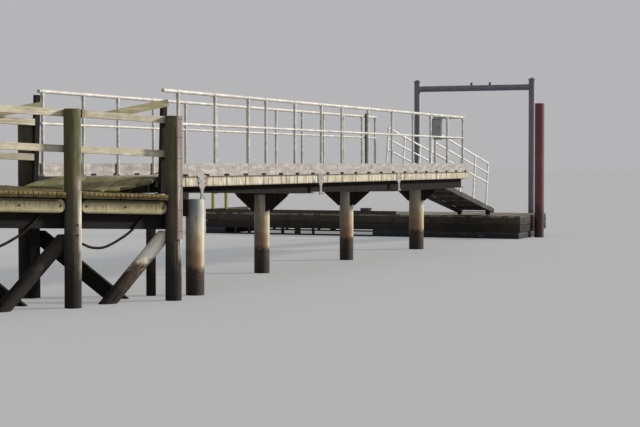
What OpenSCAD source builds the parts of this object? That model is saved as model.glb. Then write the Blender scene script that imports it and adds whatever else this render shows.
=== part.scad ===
// Timber and steel jetty: a sloping timber approach, a fixed walkway on columns,
// a hinged gangway and a floating stage between its guide posts.
// +X runs seaward along the walkway, +Z is up, and z = 0 is the water's surface at the piles.
// The origin is the centre of the foot of column 2, on the walkway's centreline.

/* [Walkway] */
// Height of the walkway's deck above the water
deck_z = 1535; // [1300:5:2200]
// Width of the deck slab
deck_w = 1740; // [1600:10:2200]
// Thickness of the deck slab
slab_t = 133; // [100:1:160]
// Distance from column 1 to column 2
bay_1 = 4000; // [3400:10:4600]
// Distance from column 2 to column 3
bay_2 = 3550; // [3000:10:4200]
// Distance from column 3 to column 4
bay_3 = 3750; // [3000:10:4400]
// Length of deck landward of column 1
land_overhang = 880; // [700:10:1000]
// Length of deck seaward of column 4
head_overhang = 570; // [540:10:900]
// Skew of the landward end of the deck, in degrees
end_skew = 13.7; // [10:0.1:18]
// Distance of the deck joints past columns 2 and 3
joint_past = 200; // [170:5:400]
// Gap in the deck at each joint
joint_gap = 8; // [4:1:20]
// Depth of the crossheads' arms and of the head beam under the slab
beam_h = 162; // [120:1:200]
// Depth of the two steel beams at their landward end
beam_h_land = 85; // [70:1:120]
// Depth of the beams just before the first deck joint
beam_h_1 = 165; // [120:1:200]
// Depth of the beams just after the first deck joint
beam_h_2 = 140; // [120:1:200]
// Depth of the beams at the second deck joint
beam_h_3 = 192; // [140:1:230]
// Depth of the beams at their seaward end
beam_h_head = 180; // [120:1:220]
// Width of the two steel beams
beam_w = 100; // [80:1:140]
// Distance of each beam from the centreline
beam_y = 750; // [650:5:760]

/* [Columns] */
// Diameter of columns 1 to 3
column_d = 240; // [200:5:300]
// Diameter of column 4 at the head
head_column_d = 290; // [240:5:320]
// Distance of column 1 from the centreline
pair_y = 900; // [880:5:940]
// Diameter of the thin timber prop under the skewed crosshead
prop_d = 125; // [90:5:160]
// Width of the crossheads on columns 2 to 4
crosshead_w = 810; // [760:5:1000]
// Height of the gussets under the crossheads
gusset_h = 260; // [160:5:300]

/* [Kerbs and fascias] */
// Height of the kerbs
kerb_h = 165; // [120:5:220]
// Width of the kerbs
kerb_w = 85; // [70:1:100]
// Thickness of the fascia boards
fascia_t = 30; // [20:1:45]
// Distance between the drain slots under the kerbs
slot_pitch = 595; // [450:10:900]
// Width of each drain slot
slot_w = 150; // [80:5:220]
// Height of each drain slot
slot_h = 28; // [15:1:45]

/* [Railings] */
// Height of the railings above the deck
rail_h = 1105; // [950:5:1200]
// Height of the middle rail above the deck
mid_rail_h = 671; // [450:1:750]
// Diameter of the top rail tube
rail_d = 48; // [38:1:60]
// Diameter of the middle rail tube
mid_rail_d = 34; // [27:1:42]
// Diameter of the posts
post_d = 42; // [34:1:50]
// Distance of the railings from the centreline
rail_y = 790; // [700:5:790]

/* [Approach] */
// Turn of the approach away from the walkway's line, in degrees
approach_turn = 24; // [10:1:30]
// Fall of the approach's deck towards the walkway, in degrees
approach_fall = 2; // [0:0.5:4]
// Rise of the approach's deck towards its far side, in degrees
cross_fall = 2.4; // [0:0.1:4]
// Height of the approach's deck above the water where it meets the walkway
approach_z = 1322; // [1250:2:1340]
// Number of bays
bays = 5; // [3:1:6]
// Distance between the piles of one row
bay_len = 1490; // [1300:10:1700]
// Distance of each pile row from the approach's centreline
row_y = 750; // [680:5:850]
// Landward shift of each far pile from its near pile
bent_skew = 1140; // [900:10:1200]
// Diameter of the timber piles
pile_d = 210; // [180:5:240]
// Diameter of the corner pile beside the walkway
corner_pile_d = 280; // [260:5:300]
// Height of the near and far piles above the approach's deck
pile_rise = 980; // [850:5:1100]
// Thickness of the deck boards
board_t = 70; // [50:1:90]
// Distance of the board ends past the pile rows
board_end = 100; // [60:5:120]
// Depth of the two main timber beams
main_beam_h = 370; // [250:5:400]
// Width of the two main timber beams
main_beam_w = 100; // [75:1:130]
// Height of the round-ended edge timbers
edge_h = 162; // [100:1:200]
// Height of the rail boards
board_rail_h = 88; // [70:1:110]
// Thickness of the rail boards
board_rail_t = 40; // [30:1:50]
// Diameter of the round braces
brace_d = 185; // [140:5:200]

/* [Gangway] */
// Length from the hinge pin to the roller's axle
gangway_len = 4800; // [4400:10:5200]
// Width between the gangway's railing posts
gangway_w = 860; // [780:10:900]
// Height of the gangway's railing above its deck
gangway_rail_h = 940; // [850:5:1050]
// Diameter of the gangway's rail tubes
gangway_rail_d = 40; // [32:1:48]
// Radius of the rollers at its foot
roller_r = 75; // [60:1:85]
// Diameter of the hinge pins
pin_d = 30; // [24:1:40]

/* [Stage and guides] */
// Height of the floating stage's deck above the water
stage_z = 520; // [440:5:600]
// Width of the floating stage, along X
stage_w = 2300; // [1900:10:2600]
// Length of the floating stage, along Y
stage_len = 7880; // [6000:10:9000]
// Height of the guide frame above the water
guide_h = 3760; // [3000:10:4200]
// Distance between the legs of the guide frame
guide_span = 2900; // [2400:10:3300]
// Diameter of the guide frame's tubes
guide_d = 154; // [130:2:170]
// Height of the single guide pile above the water
red_pile_h = 3080; // [2600:10:3500]
// Diameter of the single guide pile
red_pile_d = 216; // [180:2:240]

/* [Hidden] */
$fn = 48;
eps = 1;
big = 20000;

// Stations along the walkway, measured from column 2
x_pair = -bay_1;
x_c3 = bay_2;
x_c4 = bay_2 + bay_3;
x_land = x_pair - land_overhang;
x_head = x_c4 + head_overhang;
x_joint_1 = joint_past;
x_joint_2 = x_c3 + joint_past;

// Levels of the walkway
slab_z = deck_z - slab_t;
beam_z = slab_z - beam_h;
cap_t = 20;
column_top = beam_z - cap_t;
kerb_top = deck_z + kerb_h;
edge_y = deck_w / 2;
outer_y = edge_y + fascia_t;

// Landing notch in the head of the deck, where the gangway's hinge sits
gangway_y = 350;
notch_y = gangway_y - gangway_w / 2 - 70;
notch_x = x_head - 350;
head_beam_t = 100;
head_beam_x = notch_x - 20 - head_beam_t;
first_slot = 224;
web_t = 8;
flange_t = 14;

// Railing posts, as shares of each railing's run
near_shares = [0, 0.087, 0.173, 0.222, 0.308, 0.393, 0.464, 0.562, 0.659, 0.751, 0.833, 0.917, 1];
rear_shares = [0, 0.082, 0.158, 0.2425, 0.326, 0.412, 0.5075, 0.602, 0.695, 0.7775, 0.858, 0.94, 1];
near_first = x_land + 630;
near_last = x_head - 40;
rear_first = x_land - 60;
rear_last = notch_x - 460;
stub_near = 400;
stub_rear = 90;

// Hinge of the gangway and its angle at rest
hinge_x = notch_x + 70;
hinge_z = deck_z - 95;
roller_clear = 5;
axle_drop = 35;
roller_fall = hinge_z - stage_z - roller_clear - roller_r;
gangway_angle = asin(roller_fall / norm([gangway_len, axle_drop])) - atan(axle_drop / gangway_len);
deck_plate_t = 35;
stringer_h = 90;
stringer_w = 50;
lug_t = 12;
lug_clear = 2;
knuckle_r = 35;
pin_clear = 0.5;
gangway_end = 70;
gangway_posts = 5;
gangway_first = [310, 60];
gangway_short = [500, 740];
gangway_last = [gangway_len - gangway_short[0], gangway_len - gangway_short[1]];

// Floating stage and guides
stage_x = hinge_x + gangway_len * cos(gangway_angle) - 395;
stage_y0 = -850;
stage_board_t = 50;
waling_h = 150;
waling_w = 120;
float_h = stage_z - stage_board_t - 2 * waling_h - 30;
guide_x = stage_x + stage_w + 250;
guide_y0 = -430;
guide_clear = 15;
arm_w = 60;
arm_h = 80;
red_pile_clear = 42;
red_pile_in = 1100;

// Approach: its own frame starts on its centreline at the walkway
approach_x = x_land + 80;
approach_y = -200;
near_x0 = 325;
far_x0 = near_x0 - bent_skew;
deck_near_x = 360;
deck_far_x = -700;
land_past = 330;
deck_half = row_y + board_end;
pile_r = pile_d / 2;
housing = 20;
beam_in = row_y - pile_r + housing;
rail_out = row_y - pile_r + housing / 2;
top_rail_z = 975;
low_rail_z = 552;
far_rail_drop = [65, 82];
joint_x = -620;
tall_post_w = 65;
tall_post_h = 1150;
tall_near_x = near_x0 - 25;
tall_far_x = -785;
ramp_len = 1300;
ramp_t = 45;
ramp_angle = 12;

corner_lx = -770;
corner_ly = row_y + 50;
corner_step = 65;
corner_out = housing / 2 + 2;
corner_top = approach_z + slope(corner_lx) + 900;
corner_x = approach_x + corner_lx * cos(approach_turn) + corner_ly * sin(approach_turn);
corner_y = approach_y - corner_lx * sin(approach_turn) + corner_ly * cos(approach_turn);

function slope(x) = -x * tan(approach_fall);
function near_x(i) = near_x0 - i * bay_len;
function far_x(i) = far_x0 - i * bay_len;

// Moves its children into the approach's frame, level
module along_approach() {
    translate([approach_x, approach_y, 0]) rotate([0, 0, -approach_turn]) children();
}

// The same frame, tilted with the approach's deck, whose top is z = 0
module on_approach() {
    along_approach() translate([0, 0, approach_z]) rotate([0, approach_fall, 0]) children();
}

// The same frame, turned up about the near edge of the deck by its cross fall
module on_deck() {
    on_approach() translate([0, -deck_half, 0]) rotate([cross_fall, 0, 0])
        translate([0, deck_half, 0]) children();
}

// Moves its children into the gangway's frame, whose origin is the hinge pin
module on_gangway() {
    translate([hinge_x, gangway_y, hinge_z]) rotate([0, gangway_angle, 0]) children();
}

// Box from one corner to the opposite one
module block(a, b) {
    translate(a) cube([b[0] - a[0], b[1] - a[1], b[2] - a[2]]);
}

// Round bar from one point to another
module bar(a, b, d) {
    v = b - a;
    translate(a) rotate([0, acos(v[2] / norm(v)), atan2(v[1], v[0])]) cylinder(h = norm(v), d = d);
}

// Plate that stands along X, w thick, between an upper and a lower line of points
module side_plate(y, z, w, points) {
    translate([0, y + w / 2, z]) rotate([90, 0, 0]) linear_extrude(w) polygon(points);
}

// I-beam along X between two stations, its depth changing evenly from h0 to h1
module i_beam(x0, x1, y, z, h0, h1, w) {
    side_plate(y, z, w, [[x0, 0], [x1, 0], [x1, -flange_t], [x0, -flange_t]]);
    side_plate(y, z, web_t, [[x0, 0], [x1, 0], [x1, -h1], [x0, -h0]]);
    side_plate(y, z, w, [[x0, flange_t - h0], [x1, flange_t - h1], [x1, -h1], [x0, -h0]]);
}

// Everything landward of the deck's skewed end line, moved seaward by a margin
module landward(margin) {
    translate([x_land + margin, 0, 0]) rotate([0, 0, end_skew])
        translate([-big, -big / 2, -big / 2]) cube([big, big, big]);
}

// Columns of the walkway
module column(x, y, d, top) {
    color("#8f8d88") translate([x, y, 0]) cylinder(h = top, d = d);
}
module column_1() { column(x_pair, -pair_y, column_d, beam_z); }
module column_2() { column(0, 0, column_d, column_top); }
module column_3() { column(x_c3, 0, column_d, column_top); }
module column_4() { column(x_c4, 0, head_column_d, column_top); }

// Skewed crosshead from column 1 to the dark corner pile, cut to their round sides
pair_beam_h = 220;
pair_beam_w = 150;
pair_run = [corner_x - x_pair, corner_y + pair_y];
module crosshead_1() {
    color("#4a4c50") difference() {
        translate([x_pair, -pair_y, beam_z]) rotate([0, 0, atan2(pair_run[1], pair_run[0])])
            translate([0, -pair_beam_w / 2, -pair_beam_h])
                cube([norm(pair_run), pair_beam_w, pair_beam_h]);
        translate([x_pair, -pair_y, 0]) cylinder(h = big / 4, d = column_d);
        translate([corner_x, corner_y, 0]) cylinder(h = big / 4, d = corner_pile_d);
    }
    // Packers on it, under the shallow ends of the two beams
    color("#4a4c50") difference() {
        intersection() {
            translate([x_pair, -pair_y, beam_z]) rotate([0, 0, atan2(pair_run[1], pair_run[0])])
                translate([0, -pair_beam_w / 2, 0])
                    cube([norm(pair_run), pair_beam_w, beam_h - beam_h_land]);
            for (side = [-1, 1])
                block([-big, side * beam_y - beam_w / 2, 0], [big, side * beam_y + beam_w / 2, slab_z]);
        }
        landward(15);
    }
}

// Thin timber prop under the skewed crosshead
prop_share = 0.27;
module centre_prop() {
    color("#5a4a36") translate([x_pair + prop_share * pair_run[0], prop_share * pair_run[1] - pair_y, 0])
        cylinder(h = beam_z - pair_beam_h, d = prop_d);
}

// Crosshead on a single column: an arm between the beams, a cap plate and two gusset plates
module crosshead(x, d) {
    half = crosshead_w / 2;
    foot = d / 2 + 6;
    lip = 22;
    plate_t = 12;
    color("#2f2a24") translate([x, 0, 0]) {
        block([-130, -half, column_top], [130, half, beam_z]);
        block([-90, -beam_y + beam_w / 2, beam_z], [90, beam_y - beam_w / 2, slab_z]);
        difference() {
            for (side = [-1, 1])
                translate([side * 70 + plate_t / 2, 0, 0]) rotate([90, 0, -90]) mirror([1, 0, 0])
                    linear_extrude(plate_t) polygon([
                        [-half, column_top], [half, column_top], [half, column_top - lip],
                        [foot, column_top - gusset_h], [-foot, column_top - gusset_h],
                        [-half, column_top - lip]]);
            translate([0, 0, -eps]) cylinder(h = column_top + eps, d = d + 1);
        }
    }
}
module crosshead_2() { crosshead(0, column_d); }
module crosshead_3() { crosshead(x_c3, column_d); }
module crosshead_4() { crosshead(x_c4, head_column_d); }

// Steel beams under the slab, in three lengths that meet under the deck joints; the landward
// length is shallow and level over the skewed crosshead, then deepens seaward
beam_knee = x_pair + 100;
module beam_line(y, x_end) {
    color("#33291f") difference() {
        union() {
            i_beam(x_land - edge_y, beam_knee, y, slab_z, beam_h_land, beam_h_land, beam_w);
            i_beam(beam_knee, x_joint_1 - joint_gap / 2, y, slab_z, beam_h_land, beam_h_1, beam_w);
            i_beam(x_joint_1 + joint_gap / 2, x_joint_2 - joint_gap / 2, y, slab_z,
                beam_h_2, beam_h_3, beam_w);
            i_beam(x_joint_2 + joint_gap / 2, x_end, y, slab_z, beam_h_3, beam_h_head, beam_w);
        }
        landward(15);
    }
}
module beam_near() { beam_line(-beam_y, x_head - 20); }
module beam_rear() { beam_line(beam_y, head_beam_x); }

// Cross beam at the head, which carries the gangway's hinge
module head_beam() {
    color("#33291f") block([head_beam_x, -beam_y + beam_w / 2, beam_z],
        [head_beam_x + head_beam_t, edge_y - 30, slab_z]);
}

// Deck slab between two stations, before its ends are cut
module slab(x0, x1) {
    block([x0, -edge_y, slab_z], [x1, edge_y, deck_z]);
}
module deck_bay_1() {
    color("#8d8a80") difference() {
        slab(x_land - edge_y, x_joint_1 - joint_gap / 2);
        landward(0);
    }
}
module deck_bay_2() {
    color("#8d8a80") slab(x_joint_1 + joint_gap / 2, x_joint_2 - joint_gap / 2);
}
module deck_bay_3() {
    color("#8d8a80") difference() {
        slab(x_joint_2 + joint_gap / 2, x_head);
        block([notch_x, notch_y, 0], [x_head + eps, big, big]);
    }
}

// Fascia boards along the edges of the slab, in three lengths
module fascia(side, x_end) {
    color("#c3b79c") difference() {
        for (run = [[x_land - edge_y, x_joint_1], [x_joint_1, x_joint_2], [x_joint_2, x_end]])
            block([run[0] + joint_gap / 2, side > 0 ? edge_y : -outer_y, slab_z],
                [run[1] - joint_gap / 2, side > 0 ? outer_y : -edge_y, deck_z]);
        landward(10);
    }
}
module fascia_near() { fascia(-1, x_head + joint_gap / 2); }
module fascia_rear() { fascia(1, notch_x + joint_gap / 2); }

// Kerb on the slab's edge, with drain slots under it
module kerb(side, x_end) {
    slots = floor((x_head - x_land - first_slot - 300) / slot_pitch);
    color("#a8a39c") difference() {
        block([x_land - edge_y, side > 0 ? outer_y - kerb_w : -outer_y, deck_z],
            [x_end, side > 0 ? outer_y : -outer_y + kerb_w, kerb_top]);
        landward(10);
        for (i = [side > 0 ? 1 : 0 : slots])
            translate([x_head - first_slot - i * slot_pitch, 0, deck_z])
                cube([slot_w, 2 * outer_y + 2, 2 * slot_h], center = true);
    }
}
module kerb_near() { kerb(-1, x_head); }
module kerb_rear() { kerb(1, notch_x); }

// Tapered straps hung over the fascias at the deck joints and beside column pair 1
strap_t = 12;
strap_w = 250;
module strap(x, side) {
    translate([x, side > 0 ? outer_y + strap_t : -outer_y, 0]) rotate([90, 0, 0])
        linear_extrude(strap_t) polygon([
            [-strap_w / 2, deck_z + 12], [strap_w / 2, deck_z + 12], [strap_w / 2 - 20, slab_z + 25],
            [38, slab_z - 45], [34, beam_z + 40], [85, beam_z - 18], [-60, beam_z - 18],
            [-34, beam_z + 40], [-38, slab_z - 45], [-strap_w / 2 + 20, slab_z + 25]]);
}
module joint_straps() {
    color("#b9b6ad") for (x = [x_pair + 190, x_joint_1, x_joint_2])
        for (side = [-1, 1]) strap(x, side);
}

// Tube railing along X: posts at a list of stations, a top rail and a middle rail
module railing(y, stations, x0, x1) {
    top = deck_z + rail_h - rail_d / 2;
    color("#a9a79c") {
        for (x = stations) translate([x, y, deck_z]) cylinder(h = rail_h - rail_d / 2, d = post_d);
        bar([x0, y, top], [x1, y, top], rail_d);
        bar([stations[0], y, deck_z + mid_rail_h], [x1, y, deck_z + mid_rail_h], mid_rail_d);
    }
}
module railing_near() {
    railing(-rail_y, [for (f = near_shares) near_first + f * (near_last - near_first)],
        near_first - stub_near, near_last);
}
module railing_rear() {
    railing(rail_y, [for (f = rear_shares) rear_first + f * (rear_last - rear_first)],
        rear_first - stub_rear, rear_last);
}

// Dark square post on the deck, just inside the rear railing
side_post_w = 60;
side_post_back = 1080;
module side_post() {
    color("#2f2b29") translate([notch_x - side_post_back, rail_y - rail_d / 2 - side_post_w, deck_z])
        cube([side_post_w, side_post_w, rail_h + 35]);
}

// Short railing across the head of the walkway, beside the gangway
end_rail_x = x_head - 40;
end_rail_y0 = -rail_y + rail_d / 2;
end_rail_y1 = notch_y - 40;
module railing_end() {
    top = deck_z + rail_h - rail_d / 2;
    color("#a9a79c") {
        bar([end_rail_x, end_rail_y0, top], [end_rail_x, end_rail_y1, top], rail_d);
        bar([end_rail_x, -rail_y + post_d / 2, deck_z + mid_rail_h],
            [end_rail_x, end_rail_y1, deck_z + mid_rail_h], mid_rail_d);
        for (y = [end_rail_y1 - 290, end_rail_y1 - post_d / 2])
            translate([end_rail_x, y, deck_z]) cylinder(h = rail_h - rail_d / 2, d = post_d);
    }
}

// Control box on a backing board behind the end railing
box_w = 190;
box_h = 350;
box_d = 90;
module control_box() {
    y1 = end_rail_y1 + 12;
    x1 = end_rail_x - rail_d / 2;
    color("#5c6670") {
        block([x1 - 6, y1 - box_w, deck_z + mid_rail_h - 30], [x1, y1, deck_z + rail_h - 10]);
        block([x1 - 6 - box_d, y1 - box_w, deck_z + mid_rail_h + 30],
            [x1 - 5, y1, deck_z + mid_rail_h + 30 + box_h]);
    }
}

// Hinge brackets on the head beam: a back plate, two lugs and the pin that they carry
module hinge_brackets() {
    x0 = head_beam_x + head_beam_t;
    color("#55585c") for (side = [-1, 1])
        translate([0, gangway_y + side * (gangway_w / 2), 0]) {
            block([x0, -60, beam_z], [x0 + lug_t, 60, slab_z]);
            for (s = [-1, 1])
                translate([0, s * (stringer_w / 2 + lug_clear + lug_t / 2) + lug_t / 2, 0])
                    rotate([90, 0, 0]) linear_extrude(lug_t) {
                        polygon([[x0 + 2, beam_z + 10], [x0 + 2, slab_z - 10],
                            [notch_x + 12, slab_z + 2],
                            [hinge_x - knuckle_r * 0.8, hinge_z + knuckle_r * 0.6],
                            [hinge_x + knuckle_r, hinge_z], [x0 + 60, beam_z + 10]]);
                        translate([hinge_x, hinge_z]) circle(r = knuckle_r);
                    }
            translate([hinge_x, 60, hinge_z]) rotate([90, 0, 0]) cylinder(h = 120, d = pin_d);
        }
}

// Gangway frame: two bored stringers and the cross tubes between them
module gangway_frame() {
    half = stringer_h / 2;
    neck = 70;
    rungs = 7;
    color("#6b6e70") on_gangway() {
        for (side = [-1, 1])
            translate([0, side * gangway_w / 2 + stringer_w / 2, 0]) rotate([90, 0, 0])
                linear_extrude(stringer_w) difference() {
                    union() {
                        circle(r = knuckle_r);
                        polygon([[0, -knuckle_r], [neck, -half], [gangway_len + gangway_end, -half],
                            [gangway_len + gangway_end, half], [neck, half], [0, knuckle_r]]);
                    }
                    circle(d = pin_d + 2 * pin_clear);
                }
        for (i = [0 : rungs - 1])
            translate([200 + i * (gangway_len - 350) / (rungs - 1), 0, 0])
                cube([60, gangway_w - stringer_w + 2, 50], center = true);
    }
}

// Gangway deck between the railing posts
module gangway_deck() {
    half = gangway_w / 2 - stringer_w / 2;
    color("#4b4034") on_gangway()
        block([-40, -half, stringer_h / 2], [gangway_len + 130, half, stringer_h / 2 + deck_plate_t]);
}

// Gangway railing: posts square to the slope and three rails in their upper half
module gangway_railing(side) {
    y = side * gangway_w / 2;
    base = stringer_h / 2;
    top = base + deck_plate_t + gangway_rail_h - gangway_rail_d / 2;
    x0 = gangway_first[side < 0 ? 0 : 1];
    x1 = gangway_last[side < 0 ? 0 : 1];
    step = (x1 - x0) / (gangway_posts - 1);
    color("#d8d8d4") on_gangway() {
        for (i = [0 : gangway_posts - 1])
            translate([x0 + i * step, y, base])
                cylinder(h = top - base, d = gangway_rail_d);
        for (drop = [0, 220, 440])
            bar([x0, y, top - drop], [x1, y, top - drop],
                drop == 0 ? gangway_rail_d : gangway_rail_d - 6);
    }
}
module gangway_rail_near() { gangway_railing(-1); }
module gangway_rail_rear() { gangway_railing(1); }

// Rollers under the foot of the gangway, inside the stringers, on one axle
module gangway_rollers() {
    inner = gangway_w / 2 - stringer_w / 2;
    color("#2b2b2b") on_gangway() {
        translate([gangway_len, inner, -axle_drop]) rotate([90, 0, 0])
            cylinder(h = 2 * inner, d = 18);
        for (side = [-1, 1])
            translate([gangway_len, side * (inner - 70) + 40, -axle_drop]) rotate([90, 0, 0])
                cylinder(h = 80, r = roller_r);
    }
}

// Floating stage: deck boards, two tiers of walings all round, and floats
module stage_deck() {
    color("#7d7a72") block([stage_x, stage_y0, stage_z - stage_board_t],
        [stage_x + stage_w, stage_y0 + stage_len, stage_z]);
}
module ring(x0, y0, x1, y1, z0, z1, w) {
    difference() {
        block([x0, y0, z0], [x1, y1, z1]);
        block([x0 + w, y0 + w, z0 - eps], [x1 - w, y1 - w, z1 + eps]);
    }
}
module stage_frame() {
    z1 = stage_z - stage_board_t;
    z2 = z1 - waling_h - 12;
    color("#4c453d") {
        ring(stage_x, stage_y0, stage_x + stage_w, stage_y0 + stage_len, z1 - waling_h, z1, waling_w);
        ring(stage_x + 25, stage_y0 + 25, stage_x + stage_w - 25, stage_y0 + stage_len - 25,
            z1 - waling_h - 12, z1 - waling_h, waling_w - 50);
        ring(stage_x, stage_y0, stage_x + stage_w, stage_y0 + stage_len, z2 - waling_h, z2, waling_w);
        stage_lattice();
        stage_edging();
    }
}
float_bottom = 0;
frame_bottom = stage_z - stage_board_t - 2 * waling_h - 12;
long_float = stage_len * 0.45;
end_float = 510;
module stage_floats() {
    color("#2c3138") {
        block([stage_x + 40, stage_y0 + 40, float_bottom],
            [stage_x + stage_w - 40, stage_y0 + long_float, frame_bottom]);
        block([stage_x + 10, stage_y0 + stage_len - end_float, float_bottom],
            [stage_x + stage_w - 40, stage_y0 + stage_len, frame_bottom]);
    }
}

// Open side between the floats: uprights from the frame down to a rail at the water
upright_shares = [0.197, 0.387, 0.481, 0.592, 0.822, 0.915];
upright_ws = [60, 45, 135, 60, 60, 60];
upright_t = 60;
low_rail_h = 36;
module stage_lattice() {
    y0 = stage_y0 + long_float;
    y1 = stage_y0 + stage_len - end_float;
    for (x = [stage_x, stage_x + stage_w - upright_t]) {
        for (i = [0 : len(upright_shares) - 1])
            translate([x, y0 + upright_shares[i] * (y1 - y0), low_rail_h])
                cube([upright_t, upright_ws[i], frame_bottom - low_rail_h]);
        block([x, y0, 0], [x + upright_t, y1, low_rail_h]);
    }
}

// Timber edging on the landward and end sides of the deck, seaward of the gangway's landing
stage_edge_h = 75;
stage_edge_w = 70;
landing_clear = 900;
module stage_edging() {
    y_end = stage_y0 + stage_len;
    block([stage_x, gangway_y + gangway_w + landing_clear, stage_z],
        [stage_x + stage_edge_w, y_end, stage_z + stage_edge_h]);
    block([stage_x + stage_edge_w, y_end - stage_edge_w, stage_z],
        [stage_x + stage_w, y_end, stage_z + stage_edge_h]);
}

// Two slim posts at the end of the stage, and a small box on its landward side
stage_post_w = 60;
stage_box_share = 0.464;
module stage_posts() {
    color("#8f8f3c") for (back = [150, 505])
        translate([stage_x + stage_edge_w, stage_y0 + stage_len - back - stage_post_w / 2, stage_z])
            cube([stage_post_w, stage_post_w, 650]);
}
module stage_box() {
    color("#6f7072") translate([stage_x + stage_edge_w, stage_y0 + stage_box_share * stage_len, stage_z])
        cube([180, 210, 125]);
}

// Guide arms and bars that hold the stage to the legs of the guide frame
arm_reach = guide_x + guide_d / 2 + guide_clear - (stage_x + stage_w);
module guide_arms() {
    z = stage_z - stage_board_t - waling_h;
    color("#55585c") for (y = [guide_y0, guide_y0 + guide_span]) for (side = [-1, 1])
        translate([stage_x + stage_w,
                y + side * (guide_d / 2 + guide_clear + arm_w / 2) - arm_w / 2, z])
            cube([arm_reach, arm_w, arm_h]);
}
module guide_bars() {
    z = stage_z - stage_board_t - waling_h;
    half = guide_d / 2 + guide_clear + arm_w;
    color("#55585c") for (y = [guide_y0, guide_y0 + guide_span])
        translate([stage_x + stage_w + arm_reach, y - half, z]) cube([50, 2 * half, arm_h]);
}

// Guide frame: two capped legs and a cross tube with small lugs
guide_beam_z = guide_h - 230;
module guide_leg(y) {
    color("#4f535c") translate([guide_x, y, 0]) {
        cylinder(h = guide_h - 60, d = guide_d);
        translate([0, 0, guide_h - 60]) cylinder(h = 18, d = guide_d + 30);
        translate([0, 0, guide_h - 42 - 35]) intersection() {
            sphere(d = guide_d);
            translate([0, 0, 34]) cylinder(h = guide_d, d = guide_d + 2);
        }
    }
}
module guide_leg_near() { guide_leg(guide_y0); }
module guide_leg_rear() { guide_leg(guide_y0 + guide_span); }
module guide_beam() {
    y0 = guide_y0;
    y1 = guide_y0 + guide_span;
    color("#4f535c") difference() {
        union() {
            bar([guide_x, y0, guide_beam_z], [guide_x, y1, guide_beam_z], guide_d - 12);
            for (share = [0.36, 0.52])
                block([guide_x - 8, y0 + share * guide_span - 30, guide_beam_z + 40],
                    [guide_x + 8, y0 + share * guide_span + 30, guide_beam_z + guide_d / 2 + 60]);
        }
        for (y = [y0, y1]) translate([guide_x, y, 0]) cylinder(h = big / 4, d = guide_d + 0.6);
    }
}
module red_pile() {
    color("#6b3634") translate([stage_x + red_pile_in, stage_y0 - red_pile_clear - red_pile_d / 2, 0])
        cylinder(h = red_pile_h, d = red_pile_d);
}

// Timber pile with housings cut for the beams, rails and braces that it carries
module pile(x, y, d, top) {
    translate([x, y, 0]) cylinder(h = top, d = d);
}
module housings() {
    main_beam_shapes();
    rail_shapes();
}
module piles_near() {
    color("#565340") difference() {
        along_approach() for (i = [0 : bays])
            pile(near_x(i), -row_y, pile_d, approach_z + slope(near_x(i)) + pile_rise);
        housings();
        round_brace_shapes();
    }
}
module piles_far() {
    color("#4c463a") difference() {
        along_approach() for (i = [1 : bays])
            pile(far_x(i), row_y, pile_d, approach_z + slope(far_x(i)) + pile_rise);
        housings();
        bent_brace_shapes();
    }
}
// Corner pile, with a slimmer one spliced on that rises beside the tall far post
module corner_pile() {
    color("#2b2a28") difference() {
        along_approach() {
            pile(corner_lx, corner_ly, corner_pile_d, beam_z);
            translate([0, 0, beam_z - 60])
                pile(corner_lx - corner_step, row_y + corner_out, pile_d, corner_top - beam_z + 60);
        }
        housings();
        bent_brace_shapes();
        tall_post_shapes(0);
    }
}

// Main timber beams, housed into the inner sides of the piles
far_end_x = far_x(bays) - land_past;
near_end_x = near_x(bays) - land_past;
module main_beam_shapes() {
    on_deck() {
        block([near_end_x, -beam_in, -board_t - main_beam_h],
            [near_x0 + 60, -beam_in + main_beam_w, -board_t]);
        block([far_end_x, beam_in - main_beam_w, -board_t - main_beam_h],
            [corner_lx + 20, beam_in, -board_t]);
    }
}
module main_beams() { color("#2e2b28") main_beam_shapes(); }

// Cross timbers between the main beams, one at each bent
module cross_timbers() {
    inner = beam_in - main_beam_w;
    color("#2e2b28") on_deck() for (i = [1 : bays])
        translate([(near_x(i) + far_x(i)) / 2, 0, -board_t - 100])
            cube([100, 2 * inner, 200], center = true);
}

// Edge timbers with round ends, between the piles of each row
module edge_timber(x0, x1, y) {
    translate([x0, y, -board_t - 16 - edge_h / 2]) rotate([90, 0, 0]) linear_extrude(120) {
        translate([edge_h / 2, 0]) circle(d = edge_h);
        translate([x1 - x0 - edge_h / 2, 0]) circle(d = edge_h);
        translate([edge_h / 2, -edge_h / 2]) square([x1 - x0 - edge_h, edge_h]);
    }
}
module edge_timbers() {
    gap = pile_r + 15;
    color("#7d7658") on_deck() for (i = [0 : bays - 1]) {
        edge_timber(near_x(i + 1) + gap, near_x(i) - gap, -beam_in);
        if (i > 0) edge_timber(far_x(i + 1) + gap, far_x(i) - gap, beam_in + 120);
    }
}

// Approach deck, notched round the piles and the tall posts' feet
module deck_outline() {
    polygon([[near_end_x, -deck_half], [deck_near_x, -deck_half],
        [deck_far_x, deck_half], [far_end_x, deck_half]]);
}
module approach_deck() {
    color("#6b6a4b") difference() {
        on_deck() translate([0, 0, -board_t]) linear_extrude(board_t) deck_outline();
        along_approach() {
            for (i = [0 : bays]) pile(near_x(i), -row_y, pile_d + 12, big / 4);
            for (i = [1 : bays]) pile(far_x(i), row_y, pile_d + 12, big / 4);
            pile(corner_lx - corner_step, row_y + corner_out, pile_d + 12, big / 4);
            facing_box(3);
        }
    }
}

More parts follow.
